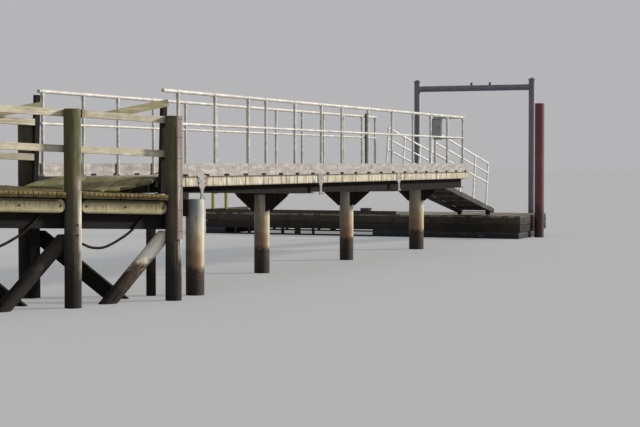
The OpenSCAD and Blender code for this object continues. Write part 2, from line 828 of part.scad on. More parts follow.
// Ramp from the approach's deck up to the walkway's: a sloping plate on tapered bearers
ramp_y0 = -rail_y + 40;
ramp_y1 = 660;
module ramp_slope(y0, y1, t0, t1) {
    intersection() {
        translate([x_land, 0, deck_z]) rotate([0, 0, end_skew]) rotate([0, -ramp_angle, 0])
            block([-ramp_len, -big / 4, -t1], [edge_y, big / 4, -t0]);
        block([-big, y0, 0], [big, y1, big]);
    }
}
module ramp_bounds() {
    difference() {
        along_approach() block([-big / 4, -rail_out + board_rail_t * 2 + 10, 0],
            [big / 4, rail_out - board_rail_t * 2, big / 4]);
        translate([x_land, 0, 0]) rotate([0, 0, end_skew])
            block([0, -big / 4, 0], [big / 4, big / 4, big / 4]);
        tall_post_shapes(6);
    }
}
module under_deck() {
    on_deck() block([-big / 2, -big / 2, -big / 2], [big / 2, big / 2, 0]);
}
module ramp_deck() {
    color("#6b6b45") difference() {
        intersection() {
            ramp_slope(ramp_y0, ramp_y1, 0, ramp_t);
            ramp_bounds();
        }
        under_deck();
    }
}
module ramp_bearers() {
    color("#3a362c") difference() {
        intersection() {
            for (y = [ramp_y0 + 40, -120, ramp_y1 - 280]) ramp_slope(y, y + 80, ramp_t, 400);
            ramp_bounds();
        }
        under_deck();
    }
}

// Rail boards on the inner sides of the piles
module board_rail(x0, x1, y, z) {
    block([x0, y, z - board_rail_h], [x1, y + board_rail_t, z]);
}
module rail_shapes() {
    on_approach() for (i = [0, 1]) {
        z = [top_rail_z, low_rail_z][i];
        board_rail(near_end_x + 60, near_x0 + 60, -rail_out, z);
        board_rail(far_end_x + 60, tall_far_x - tall_post_w / 2, rail_out - board_rail_t,
            z - far_rail_drop[i]);
    }
}
cleat_x = -1020;
module rails_near() {
    color("#8f8a72") {
        intersection() {
            rail_shapes();
            along_approach() block([-big, -big, 0], [big, 0, big]);
        }
        on_approach() block([cleat_x, -rail_out - 35, top_rail_z - 95],
            [cleat_x + 60, -rail_out, top_rail_z + 8]);
    }
}
module rails_far() {
    color("#8f8a72") intersection() {
        rail_shapes();
        along_approach() block([-big, 0, 0], [big, big, big]);
    }
}

// Rails that slope up to the tall posts, with the cleat at the foot of the near one
slope_rise = 215;
slope_run = 960;
module sloping_rail(x0, y, drop) {
    a = atan(slope_rise / slope_run);
    translate([x0, y, top_rail_z - drop - board_rail_h]) rotate([0, -a, 0])
        cube([slope_run / cos(a), board_rail_t, board_rail_h]);
}
module sloping_rails() {
    color("#99957c") on_approach() {
        sloping_rail(tall_near_x + tall_post_w / 2 - slope_run, -rail_out + board_rail_t, 0);
        sloping_rail(tall_far_x + tall_post_w / 2 - slope_run, rail_out - 2 * board_rail_t,
            far_rail_drop[0]);
    }
}
module tall_post_shapes(margin) {
    on_approach() {
        block([tall_near_x - tall_post_w / 2 - margin, -rail_out + 2 * board_rail_t - margin, 0],
            [tall_near_x + tall_post_w / 2 + margin,
                -rail_out + 2 * board_rail_t + tall_post_w + margin, tall_post_h]);
        block([tall_far_x - tall_post_w / 2 - margin, rail_out - board_rail_t - margin, 0],
            [tall_far_x + tall_post_w / 2 + margin,
                rail_out - board_rail_t + tall_post_w + margin, tall_post_h + 60]);
    }
}
module tall_posts() {
    color("#3f3b33") difference() {
        tall_post_shapes(0);
        under_deck();
    }
}

// Round braces of the near row: from the head of one pile down to the water, landward
brace_run = 920;
brace_top = 860;
brace_in = row_y - pile_r - brace_d / 2 + 15;
module round_brace_shapes() {
    along_approach() intersection() {
        for (i = [0 : bays - 1])
            bar([near_x(i) + 170, -brace_in, brace_top * (1 + 120 / brace_run)],
                [near_x(i) - 1.2 * brace_run + 50, -brace_in, -0.2 * brace_top], brace_d);
        block([-big, -big, 0], [big, big, brace_top]);
    }
}
module round_braces() { color("#8b8578") round_brace_shapes(); }

// Braces across the bents: from the head of each far pile down to the water, nearward
bent_brace_h = 190;
bent_brace_t = 75;
module bent_brace_shapes() {
    span = norm([bent_skew, 2 * row_y]);
    turn = atan2(-2 * row_y, bent_skew);
    run = 0.59 * span;
    drop = atan(brace_top / run);
    along_approach() intersection() {
        for (i = [0 : bays])
            translate([far_x(i), row_y, 0]) rotate([0, 0, turn])
                translate([0, pile_r - 15, brace_top]) rotate([0, drop, 0])
                    translate([-300, 0, -bent_brace_h / 2])
                        cube([run * 1.8 + 300, bent_brace_t, bent_brace_h]);
        block([-big, -big, 0], [big, big, brace_top - 10]);
    }
}
module bent_braces() { color("#262421") bent_brace_shapes(); }

// Weathered board nailed down the seaward side of the first near pile
facing_foot = 760;
facing_w = 75;
module facing_box(margin) {
    top = approach_z + slope(near_x0) + pile_rise - 5;
    translate([near_x0, -row_y, 0])
        block([-27 - margin, -pile_r - 22 - margin, facing_foot],
            [facing_w - 27 + margin, -pile_r + 35 + margin, top]);
}
module facing_board() {
    color("#a59a86") difference() {
        along_approach() facing_box(0);
        along_approach() pile(near_x0, -row_y, pile_d + 0.6, big / 4);
        housings();
    }
}

// Slack ropes hung in swags before the near main beam, as a tube of 8 sides along hand-set points
rope_d = 34;
rope_path = [[105.6, 0, 712], [125, 0, 711], [160, 18, 702], [202, 40, 691], [255, 58, 672],
    [312, 67, 657], [378, 67.5, 649], [442, 67.5, 648], [510, 67.5, 658], [574, 67.5, 678],
    [650, 67.5, 708], [721, 67.5, 742], [775, 67.5, 768], [826, 67.5, 796], [882, 67.5, 832],
    [936, 67.5, 873], [975, 72, 903], [1007, 79, 931], [1050, 79, 968], [1088, 79, 1002]];
function unit(v) = v / norm(v);
function tangent(p, i) = unit(p[min(i + 1, len(p) - 1)] - p[max(i - 1, 0)]);
module swept_tube(p, d) {
    sides = 8;
    rings = [for (i = [0 : len(p) - 1])
        let (t = tangent(p, i), s = unit(cross(t, [0, 1, 0])), u = cross(s, t))
            for (k = [0 : sides - 1])
                p[i] + d / 2 * (cos(k * 360 / sides) * s + sin(k * 360 / sides) * u)];
    quads = [for (i = [0 : len(p) - 2]) for (k = [0 : sides - 1])
        [i * sides + k, i * sides + (k + 1) % sides,
            (i + 1) * sides + (k + 1) % sides, (i + 1) * sides + k]];
    polyhedron(points = rings, faces = concat(quads,
        [[for (k = [sides - 1 : -1 : 0]) k]],
        [[for (k = [0 : sides - 1]) (len(p) - 1) * sides + k]]));
}
module rope(bay) {
    color("#3b3021") along_approach() translate([near_x(bay), -row_y, slope(near_x(bay))])
        swept_tube(rope_path, rope_d);
}
module rope_1() { rope(1); }
module rope_2() { rope(2); }

column_1();
column_2();
column_3();
column_4();
centre_prop();
crosshead_1();
crosshead_2();
crosshead_3();
crosshead_4();
beam_near();
beam_rear();
head_beam();
deck_bay_1();
deck_bay_2();
deck_bay_3();
fascia_near();
fascia_rear();
kerb_near();
kerb_rear();
joint_straps();
railing_near();
railing_rear();
railing_end();
side_post();
control_box();
hinge_brackets();
gangway_frame();
gangway_deck();
gangway_rail_near();
gangway_rail_rear();
gangway_rollers();
stage_deck();
stage_frame();
stage_floats();
stage_posts();
stage_box();
guide_arms();
guide_bars();
guide_leg_near();
guide_leg_rear();
guide_beam();
red_pile();
piles_near();
piles_far();
corner_pile();
main_beams();
cross_timbers();
edge_timbers();
approach_deck();
ramp_deck();
ramp_bearers();
rails_near();
rails_far();
sloping_rails();
tall_posts();
round_braces();
bent_braces();
facing_board();
rope_1();
rope_2();
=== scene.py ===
import math
import random

import bmesh
import bpy
from mathutils import Matrix, Vector, noise


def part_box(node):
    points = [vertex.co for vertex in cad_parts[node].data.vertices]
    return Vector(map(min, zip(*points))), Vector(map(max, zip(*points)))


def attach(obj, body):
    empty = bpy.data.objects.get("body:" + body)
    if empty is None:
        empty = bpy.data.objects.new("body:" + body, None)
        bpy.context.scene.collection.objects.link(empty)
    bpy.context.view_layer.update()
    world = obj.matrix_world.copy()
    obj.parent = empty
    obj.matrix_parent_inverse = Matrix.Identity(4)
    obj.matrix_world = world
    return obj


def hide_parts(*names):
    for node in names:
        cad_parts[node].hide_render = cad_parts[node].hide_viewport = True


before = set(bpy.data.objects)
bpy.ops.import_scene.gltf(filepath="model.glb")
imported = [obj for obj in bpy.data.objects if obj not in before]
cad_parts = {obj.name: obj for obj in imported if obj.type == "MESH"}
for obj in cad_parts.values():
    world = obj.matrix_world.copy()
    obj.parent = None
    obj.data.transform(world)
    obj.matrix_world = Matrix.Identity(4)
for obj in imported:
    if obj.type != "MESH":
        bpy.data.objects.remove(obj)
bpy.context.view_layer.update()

bl_info = {
    "name": "Weathered jetty",
    "version": (1, 0, 0),
    "blender": (4, 5, 0),
    "location": "View3D > Sidebar > Jetty",
    "description": "Dresses a timber and steel jetty with boards, fittings and weathered finishes",
    "category": "Add Mesh",
}

MM = 0.001
HERE = Matrix.Identity(4)
QUARTER = Matrix.Rotation(math.radians(90), 4, "Z")
# The tone that leaves a piece as its finish has it: 0 is the darkest, 1 the palest
EVEN_TONE = 0.5

# The side that the sun lights, for painted light and weather bleaching, and the side away from it, for
# painted shade
SUNLIT_AND_WEATHER_SIDE = (0.386, -0.923, 0.0)
SHADED_SIDE = (-0.386, 0.923, 0.0)

# Levels and stations of the walkway, in metres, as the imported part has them
DECK_Z = 1.535
SLAB_Z = 1.402
BEAM_Z = 1.240
OUTER_Y = 0.900
RAIL_Y = 0.790
RAIL_TOP = 2.616
MID_RAIL = 2.206
LAND_X = -4.880
SKEW = math.radians(13.7)
STRAPS = (-3.810, 0.200, 3.750)
CROSSHEADS = (0.0, 3.550, 7.300)
NEAR_POSTS = (-4.250, (0, .087, .173, .222, .308, .393, .464, .562, .659, .751, .833, .917, 1), 12.080)
REAR_POSTS = (-4.940, (0, .082, .158, .2425, .326, .412, .5075, .602, .695, .7775, .858, .94, 1), 12.000)
END_RAIL_X = 7.830
SLOT_X0 = 7.646
SLOT_PITCH = 0.595
GUIDE_LEGS = ((14.477, -0.430), (14.477, 2.470))
GUIDE_FLANGE_Z = 3.718

# The approach's own frame: origin on its centreline, x seaward, falling to the walkway and rising across
APPROACH_TURN = math.radians(-24)
FALL = math.radians(2)
CROSS_FALL = math.radians(2.4)
RAMP_ANGLE = math.radians(12)
APPROACH_Z = 1.322
ROW_Y = 0.750
DECK_HALF = 0.850
PILE_R = 0.105
PILE_RISE = 0.980
NEAR_X0 = 0.325
BAY = 1.490
FAR_X0 = NEAR_X0 - 1.140
BAYS = 5
CORNER_X = -0.770
CORNER_Y = 0.800
CORNER_POST_X = CORNER_X - 0.065
BEAM_IN = 0.665
RAIL_OUT = 0.655
TOP_RAIL = 0.975
LOW_RAIL = 0.552
FAR_DROP = (0.065, 0.082)
TALL_FAR_X = -0.785
CLEAT_X = -1.020
BRACE_TOP = 0.860
BRACE_RUN = 0.920
BRACE_D = 0.185
BLEACHED_FROM = -0.860
DECK_NEAR = (-7.455, 0.360)
DECK_FAR = (-8.595, -0.700)
APPROACH = Matrix.Translation((-4.800, -0.200, 0)) @ Matrix.Rotation(APPROACH_TURN, 4, "Z")
ON_APPROACH = APPROACH @ Matrix.Translation((0, 0, APPROACH_Z)) @ Matrix.Rotation(FALL, 4, "Y")
ON_DECK = ON_APPROACH @ Matrix.Translation((0, -DECK_HALF, 0)) @ Matrix.Rotation(CROSS_FALL, 4, "X") \
    @ Matrix.Translation((0, DECK_HALF, 0))

# The gangway's frame: origin on its hinge pin, x down its slope
GANG_Y = 0.350
GANG_HALF = 0.430
HINGE = (7.590, GANG_Y, 1.440)
GANG_LEN = 4.800
GANG_FIRST = (0.310, 0.060)
GANG_LAST = (4.300, 4.060)
GANG_RAILS = (1.000, 0.780, 0.560)
AXLE_DROP = 0.035
GANG_ANGLE = math.asin((1.440 - 0.520 - 0.005 - 0.075) / math.hypot(GANG_LEN, AXLE_DROP)) \
    - math.atan(AXLE_DROP / GANG_LEN)
GANGWAY = Matrix.Translation(HINGE) @ Matrix.Rotation(GANG_ANGLE, 4, "Y")

# The photo's camera: where it stands, its heading and fall in degrees, its focal length in the photo's pixels
EYE = (-21.835, -10.112, 1.700)
HEADING = 22.7
DOWN = 1.85
FOCAL_PIXELS = 1550
PHOTO_WIDTH = 640
SUNLIGHT = (-0.528, 0.762, -0.375)
FLOOR_HALF = 400


def linear(code):
    """An sRGB hex colour as the linear values that Blender's sockets hold."""
    parts = [int(code[i:i + 2], 16) / 255 for i in (0, 2, 4)]
    return [p / 12.92 if p <= 0.04045 else ((p + 0.055) / 1.055) ** 2.4 for p in parts] + [1.0]


def add(tree, kind, inputs=None, **settings):
    """Adds one node: settings are its own, inputs are values or the sockets to link from."""
    item = tree.nodes.new(kind)
    for key, value in settings.items():
        setattr(item, key, value)
    for key, value in (inputs or {}).items():
        if isinstance(value, bpy.types.NodeSocket):
            tree.links.new(value, item.inputs[key])
        else:
            item.inputs[key].default_value = value
    return item


class Finish:
    """A material under way: its tree, where its patterns are read and the colour so far."""

    def __init__(self, name, colour, turn=0.0, tilt=0.0):
        self.material = bpy.data.materials.new(name)
        self.material.use_nodes = True
        self.tree = self.material.node_tree
        self.tree.nodes.clear()
        place = add(self.tree, "ShaderNodeTexCoord").outputs["Object"]
        self.place = add(self.tree, "ShaderNodeMapping", {
            "Vector": place, "Rotation": (0, tilt, turn)}, vector_type="TEXTURE").outputs[0]
        self.world = place
        split = add(self.tree, "ShaderNodeSeparateXYZ", {0: place})
        self.height = split.outputs[2]
        self.colour = add(self.tree, "ShaderNodeRGB").outputs[0]
        self.colour.default_value = linear(colour)
        self.relief = None

    def noise(self, size, low=0.4, high=0.6, stretch=(1, 1, 1), detail=4.0, seed=0.0):
        """Patches of a given size in mm, cut between low and high, from 0 to 1."""
        mapped = add(self.tree, "ShaderNodeMapping", {
            "Vector": self.place, "Location": (seed, seed * 0.7, seed * 1.3),
            "Scale": [1 / s for s in stretch]})
        spots = add(self.tree, "ShaderNodeTexNoise", {
            "Vector": mapped.outputs[0], "Scale": 1 / (size * MM), "Detail": detail, "Roughness": 0.62})
        return add(self.tree, "ShaderNodeMapRange", {0: spots.outputs[0], 1: low, 2: high}).outputs[0]

    def product(self, *patterns):
        """Patterns and amounts multiplied together."""
        result = patterns[0]
        for other in patterns[1:]:
            result = add(self.tree, "ShaderNodeMath", {0: result, 1: other}, operation="MULTIPLY").outputs[0]
        return result

    def over(self, code, *amounts, mode="MIX"):
        """Lays another colour over the colour so far, by the product of patterns and amounts."""
        self.colour = add(self.tree, "ShaderNodeMix", {
            0: self.product(*amounts), 6: self.colour, 7: linear(code)},
            data_type="RGBA", blend_type=mode).outputs[2]
        return self

    def patches(self, code, amount, *pattern, **settings):
        """Lays a colour over in patches: its amount, then the pattern as noise takes it."""
        return self.over(code, self.noise(*pattern, **settings), amount)

    def below(self, top, fade, wobble=60.0, size=120.0):
        """1 under a height in mm, fading upwards, with a ragged edge."""
        ragged = self.noise(size, 0.3, 0.7, seed=3.1)
        lifted = add(self.tree, "ShaderNodeMath", {
            0: ragged, 1: wobble * MM, 2: self.height}, operation="MULTIPLY_ADD").outputs[0]
        return add(self.tree, "ShaderNodeMapRange", {
            0: lifted, 1: (top + fade + wobble / 2) * MM, 2: (top + wobble / 2) * MM}).outputs[0]

    def above(self, foot, fade, wobble=60.0):
        """1 over a height in mm, fading downwards, with a ragged edge."""
        return add(self.tree, "ShaderNodeMath", {
            0: 1.0, 1: self.below(foot - fade, fade, wobble)}, operation="SUBTRACT").outputs[0]

    def along(self, direction):
        """How far a point lies along a direction of the row frame, in metres."""
        return add(self.tree, "ShaderNodeVectorMath", {0: self.world, 1: tuple(direction)},
                   operation="DOT_PRODUCT").outputs["Value"]

    def deck_height(self):
        """How far a point is above the plane of the approach's deck, in metres."""
        up = ON_DECK.to_3x3() @ Vector((0, 0, 1))
        return add(self.tree, "ShaderNodeMath", {
            0: self.along(up), 1: ON_DECK.to_translation().dot(up)}, operation="SUBTRACT").outputs[0]

    def joints(self, start, pitch, half_width):
        """1 on thin upright lines along x, one every pitch from start, in metres."""
        along = add(self.tree, "ShaderNodeSeparateXYZ", {0: self.world}).outputs[0]
        moved = add(self.tree, "ShaderNodeMath", {0: along, 1: start}, operation="SUBTRACT").outputs[0]
        off = add(self.tree, "ShaderNodeMath", {0: moved, 1: pitch / 2}, operation="PINGPONG").outputs[0]
        return add(self.tree, "ShaderNodeMapRange", {
            0: off, 1: half_width, 2: half_width * 0.5}).outputs[0]

    def towards(self, direction, low=0.35, high=0.8, either=False):
        """1 where the surface faces one way of the row frame, such as the sunlit side, or either way."""
        normal = add(self.tree, "ShaderNodeNewGeometry").outputs["Normal"]
        facing = add(self.tree, "ShaderNodeVectorMath", {0: normal, 1: direction},
                     operation="DOT_PRODUCT").outputs["Value"]
        if either:
            facing = add(self.tree, "ShaderNodeMath", {0: facing}, operation="ABSOLUTE").outputs[0]
        return add(self.tree, "ShaderNodeMapRange", {0: facing, 1: low, 2: high}).outputs[0]

    def upward(self, low=0.3, high=0.8):
        """1 on faces that look up."""
        return self.towards((0, 0, 1), low, high)

    def tone(self, dark, light):
        """Varies whole boards between two colours by the tone stored on each; with none stored, dark."""
        value = add(self.tree, "ShaderNodeAttribute", attribute_name="tone").outputs["Fac"]
        low = add(self.tree, "ShaderNodeMapRange", {0: value, 1: 0.5, 2: 0.0}).outputs[0]
        high = add(self.tree, "ShaderNodeMapRange", {0: value, 1: 0.5, 2: 1.0}).outputs[0]
        return self.over(dark, low, mode="MULTIPLY").over(light, high, mode="SCREEN")

    def rough(self, pattern, depth):
        """Adds a pattern to the surface's relief, depth in mm."""
        lifted = self.product(pattern, depth * MM)
        if self.relief is not None:
            lifted = add(self.tree, "ShaderNodeMath", {0: lifted, 1: self.relief}, operation="ADD").outputs[0]
        self.relief = lifted
        return self

    def grit(self, size, depth):
        """Adds a fine even roughness to the relief, size and depth in mm."""
        return self.rough(self.noise(size, 0.3, 0.7), depth)

    def done(self, roughness, metallic=0.0, specular=0.5):
        """Ends the material and gives it back."""
        inputs = {"Base Color": self.colour, "Roughness": roughness, "Metallic": metallic,
                  "Specular IOR Level": specular}
        if self.relief is not None:
            inputs["Normal"] = add(self.tree, "ShaderNodeBump", {
                "Height": self.relief, "Distance": 1.0, "Strength": 1.0}).outputs[0]
        shader = add(self.tree, "ShaderNodeBsdfPrincipled", inputs)
        add(self.tree, "ShaderNodeOutputMaterial", {0: shader.outputs[0]})
        return self.material


def axis_of(turn):
    """The frame's direction that a grain turned by this angle follows."""
    return (math.cos(turn), math.sin(turn), 0.0)


def pile_timber(name, tint, moss, wet=520.0, bleach=0.0):
    """Driven round timber gone grey: long vertical checks, moss on its head, black where the tide wets it;
    when bleached, also painted light on its sunlit side and painted shade on the other.
    """
    f = Finish(name, tint)
    grain = f.noise(8, 0.35, 0.65, stretch=(1, 1, 30), detail=6)
    streaks = f.noise(38, 0.4, 0.6, stretch=(1, 1, 16), seed=5)
    f.over("4A4340", f.below(1300, 260, 200), 0.75)
    f.over("242019", streaks, 0.6)
    f.over("8E856F", grain, 0.32)
    f.patches("6B5138", 0.4, 120, 0.55, 0.7, (1, 1, 4), seed=12)
    f.patches("B8B09C", 0.3, 30, 0.62, 0.74, (1, 1, 18), seed=9)
    if bleach:
        # Painted light on the sunlit side and painted shade on the side away from it, then a bleached band on
        # the weather side
        f.over("B8B294", f.towards(SUNLIT_AND_WEATHER_SIDE, 0.78, 0.98), 0.5)
        f.over("2B2824", f.towards(SHADED_SIDE, -0.35, 0.4), 0.55)
        f.over("E9E2D2", f.below(1420, 160, 200), f.above(620, 260, 160), f.towards(SUNLIT_AND_WEATHER_SIDE, 0.62, 0.9),
               f.noise(60, 0.36, 0.5, stretch=(1, 1, 9), seed=31), bleach)
    high = f.above(1450, 500, 200)
    f.over("4F4F2C", high, f.noise(150, 0.34, 0.56, stretch=(1, 1, 3), seed=2), moss)
    f.over("262321", f.below(wet + 300, 380, 220), 0.6)
    f.over("1D1A19", f.below(wet, 220, 200), 0.8)
    f.over("6F6C45", f.upward(0.5, 0.9), 0.6)
    f.rough(grain, 2.6).rough(streaks, 3.0).grit(15, 1.4)
    return f.done(0.9, specular=0.3)


def sawn_timber(name, tint, dark, end, moss=0.3, turn=APPROACH_TURN, wet=None, bleach=0.5, upright=False,
                toned=True):
    """Sawn boards left to the weather: silvery along the grain, dark and ochre on the end grain.

    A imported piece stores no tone, so the pale ones among them are made with toned off.
    """
    f = Finish(name, tint, turn=turn, tilt=math.radians(-90) if upright else 0.0)
    grain = f.noise(6, 0.35, 0.65, stretch=(36, 1, 1), detail=6)
    patches = f.noise(240, 0.4, 0.62, stretch=(2.2, 1, 1), seed=4)
    f.over(dark, patches, 0.5)
    f.patches("EAE3D2", bleach, 26, 0.5, 0.68, (18, 1, 1), seed=7)
    f.over(dark, grain, 0.38)
    f.patches("3A3226", 0.55, 34, 0.66, 0.74, (3, 1, 1), seed=19)
    if toned:
        f.tone("A29D92", "2C2A26")
    f.over("6A6B38", f.upward(), f.noise(190, 0.38, 0.6, seed=8), moss)
    f.patches("62633A", moss * 0.8, 110, 0.5, 0.68, seed=15)
    f.over(end, f.towards((0, 0, 1) if upright else axis_of(turn), 0.6, 0.9, either=True), 0.8)
    if wet:
        f.over("171413", f.below(wet, 220, 160), 0.85)
    f.rough(grain, 1.5).rough(patches, 1.2).grit(12, 0.7)
    return f.done(0.88, specular=0.3)


def edge_pole(name):
    """Bleached edge timbers under the boards: cream, with dark streaks that fade down from under the boards
    and painted shadow along the top under their overhang.
    """
    f = Finish(name, "BDB594", turn=APPROACH_TURN)
    grain = f.noise(7, 0.35, 0.65, stretch=(30, 1, 1), detail=6)
    f.patches("A89A6A", 0.6, 300, 0.42, 0.6, (3, 1, 1), seed=4)
    f.patches("8D8A55", 0.55, 520, 0.5, 0.62, (2, 1, 1), seed=14)
    f.over("6E6246", grain, 0.35)
    level = f.deck_height()
    run = f.noise(15, 0.36, 0.6, stretch=(1, 1, 9), seed=22)
    # Dark streaks down from the top, to a ragged lower edge that fades out
    reach = add(f.tree, "ShaderNodeMapRange", {0: run, 1: 0.0, 2: 1.0, 3: -0.112, 4: -0.150}).outputs[0]
    lower = add(f.tree, "ShaderNodeMath", {0: reach, 1: 0.075}, operation="SUBTRACT").outputs[0]
    dark_streaks = add(f.tree, "ShaderNodeMapRange", {0: level, 1: lower, 2: reach}).outputs[0]
    f.over("2F2A1C", dark_streaks, 0.72)
    f.patches("4A442F", 0.4, 10, 0.5, 0.62, (1, 1, 12), seed=41)
    # Painted shadow along the top, under the boards' overhang
    shade = add(f.tree, "ShaderNodeMapRange", {0: level, 1: -0.112, 2: -0.070}).outputs[0]
    f.over("2C281E", shade, 0.75)
    foot = add(f.tree, "ShaderNodeMapRange", {0: level, 1: -0.222, 2: -0.240}).outputs[0]
    f.over("3B3528", foot, 0.7)
    f.patches("4A4030", 0.7, 24, 0.66, 0.73, (4, 1, 1), seed=17)
    f.rough(grain, 1.6).rough(run, 1.0).grit(14, 0.8)
    return f.done(0.88, specular=0.3)


def deck_ends(name):
    """Narrow deck boards: golden and mossy on top, their open end grain ochre above and black below."""
    f = Finish(name, "7A7048", turn=APPROACH_TURN)
    grain = f.noise(6, 0.35, 0.65, stretch=(1, 34, 1), detail=6)
    f.patches("46402C", 0.5, 150, 0.42, 0.6, (1, 3, 1), seed=4)
    f.over("A59A72", grain, 0.35)
    f.patches("B08B45", 0.4, 200, 0.46, 0.62, seed=11)
    f.tone("9A947E", "3A3728")
    f.over("62653A", f.upward(), f.noise(260, 0.42, 0.64, seed=8), 0.6)
    side = f.towards(tuple(APPROACH.to_3x3() @ Vector((0, 1, 0))), 0.6, 0.9, either=True)
    level = f.deck_height()
    f.over("2B2214", side, 0.88)
    lip = add(f.tree, "ShaderNodeMapRange", {0: level, 1: -0.040, 2: -0.020}).outputs[0]
    f.over("9C8352", side, lip, f.noise(70, 0.34, 0.56, seed=21), 0.75)
    f.over("D8C79C", side, lip, f.noise(34, 0.6, 0.72, seed=25))
    f.rough(grain, 1.4).grit(14, 1.0)
    return f.done(0.9, specular=0.3)


def ramp_timber(name):
    """Ramp boards under bright moss: olive and green where the feet don't wear it, grey where they do."""
    f = Finish(name, "857F66", turn=SKEW)
    grain = f.noise(7, 0.35, 0.65, stretch=(30, 1, 1), detail=6)
    f.patches("6C6F3C", 0.6, 260, 0.4, 0.58, seed=3)
    f.patches("8C8450", 0.6, 140, 0.42, 0.58, seed=6)
    f.patches("B3AA86", 0.5, 60, 0.56, 0.7, (6, 1, 1), seed=9)
    f.over("3B3A24", grain, 0.3)
    f.tone("A7A691", "5A5648")
    f.rough(grain, 1.2).grit(18, 1.4)
    return f.done(0.92, specular=0.25)


def brace_timber(name):
    """A stripped log: bleached at the head of the first one, tan lower down, near black on the others."""
    f = Finish(name, "8B887E", turn=APPROACH_TURN, tilt=math.radians(-43))
    grain = f.noise(9, 0.35, 0.65, stretch=(24, 1, 1), detail=6)
    f.patches("5F5344", 0.55, 60, 0.45, 0.62, (7, 1, 1), seed=3)
    f.over("FFF6E4", f.noise(70, 0.2, 0.4, stretch=(6, 1, 1), seed=6), f.above(440, 120, 160), 0.96)
    f.over("8E6A48", f.below(470, 80, 180), 0.7)
    f.over("3A312A", f.below(400, 110, 200), 0.9)
    f.over("1E1A18", f.below(160, 120, 160), 0.8)
    # The braces landward of BLEACHED_FROM are made near black all over
    seaward = APPROACH.to_3x3() @ Vector((1, 0, 0))
    edge = (APPROACH @ Vector((BLEACHED_FROM, 0, 0))).dot(seaward)
    landward = add(f.tree, "ShaderNodeMapRange", {
        0: f.along(seaward), 1: edge + 0.02, 2: edge - 0.02}).outputs[0]
    f.over("211E1C", landward, 0.97)
    f.rough(grain, 2.4).rough(f.noise(40, 0.3, 0.7, seed=8), 2.0)
    return f.done(0.88, specular=0.3)


def coated_column(name, top, cream, tan, brown, growth_top):
    """Steel column in an old pale coating: grey, then a cream band, a tan one, and dark growth below, with
    painted light on its sunlit side and painted shade on the other.
    """
    f = Finish(name, top)
    streaks = f.noise(26, 0.4, 0.62, stretch=(1, 1, 18), seed=2)
    f.over("7C7874", streaks, 0.4)
    f.over("B9B196", f.below(cream, 150, 90), 0.8)
    f.patches("E6E0CC", 0.4, 46, 0.52, 0.66, (1, 1, 8), seed=6)
    f.over("A38A69", f.below(tan, 150, 100), 0.75)
    f.over("86664A", f.below(brown, 130, 110), 0.75)
    f.patches("6E4A2F", 0.5, 50, 0.58, 0.72, (1, 1, 3), seed=17)
    # Painted light on the sunlit side and painted shade on the side away from it
    f.over("EFE4C4", f.towards(SUNLIT_AND_WEATHER_SIDE, 0.6, 0.92), 0.4)
    f.over("4C4A52", f.towards(SHADED_SIDE, -0.25, 0.6), 0.6)
    growth = f.below(growth_top, 80, 90)
    f.over("2A211C", growth, 0.94)
    f.over("5A4636", growth, f.noise(40, 0.52, 0.7, seed=9))
    f.over("191615", f.below(150, 120, 90), 0.6)
    f.rough(f.product(f.noise(20, 0.3, 0.7, seed=4), growth), 5.0).rough(streaks, 0.5)
    return f.done(0.72, specular=0.4)


def rusted_steel(name, tint, rust=0.5, pale=0.35):
    """Rolled steel with most of its paint gone: brown-black and dull, scabbed with orange rust."""
    f = Finish(name, tint)
    f.patches("141110", 0.5, 130, 0.42, 0.6, seed=1)
    f.patches("5E3B24", rust, 70, 0.54, 0.68, seed=5)
    f.patches("9A6436", rust * 0.7, 20, 0.62, 0.74, seed=8)
    f.patches("6A6358", pale, 90, 0.56, 0.72, (1, 1, 3), seed=11)
    f.patches("2A2420", 0.4, 30, 0.55, 0.7, (1, 1, 8), seed=13)
    f.rough(f.noise(18, 0.35, 0.65), 1.2).rough(f.noise(5, 0.4, 0.6, seed=2), 0.3)
    return f.done(0.88, specular=0.2)


def cast_concrete(name, tint, runs=0.35):
    """Cast concrete, rain-washed: pale grey and pitted, with soft stains, runs and a few dark spots."""
    f = Finish(name, tint)
    f.patches("807C76", 0.4, 300, 0.36, 0.66, (4, 1, 1), seed=1)
    f.patches("CBC7BF", 0.5, 60, 0.46, 0.64, (4, 1, 1), seed=3)
    f.patches("625D58", 0.4, 85, 0.56, 0.68, (2, 1, 1), seed=15)
    f.over("55504A", f.joints(SLOT_X0 + 0.4, 4 * SLOT_PITCH, 0.006), 0.8)
    f.patches("6E6860", runs, 34, 0.56, 0.7, (1, 1, 6), seed=5)
    f.patches("3A3631", 0.75, 24, 0.68, 0.76, seed=7)
    f.patches("9A7850", 0.4, 70, 0.66, 0.78, seed=9)
    f.over("6C6E4A", f.upward(), f.noise(150, 0.5, 0.66, seed=12), 0.35)
    f.rough(f.noise(8, 0.35, 0.65), 0.8).grit(45, 0.8)
    f.rough(f.noise(3, 0.3, 0.7, seed=6), 0.2)
    return f.done(0.9, specular=0.3)


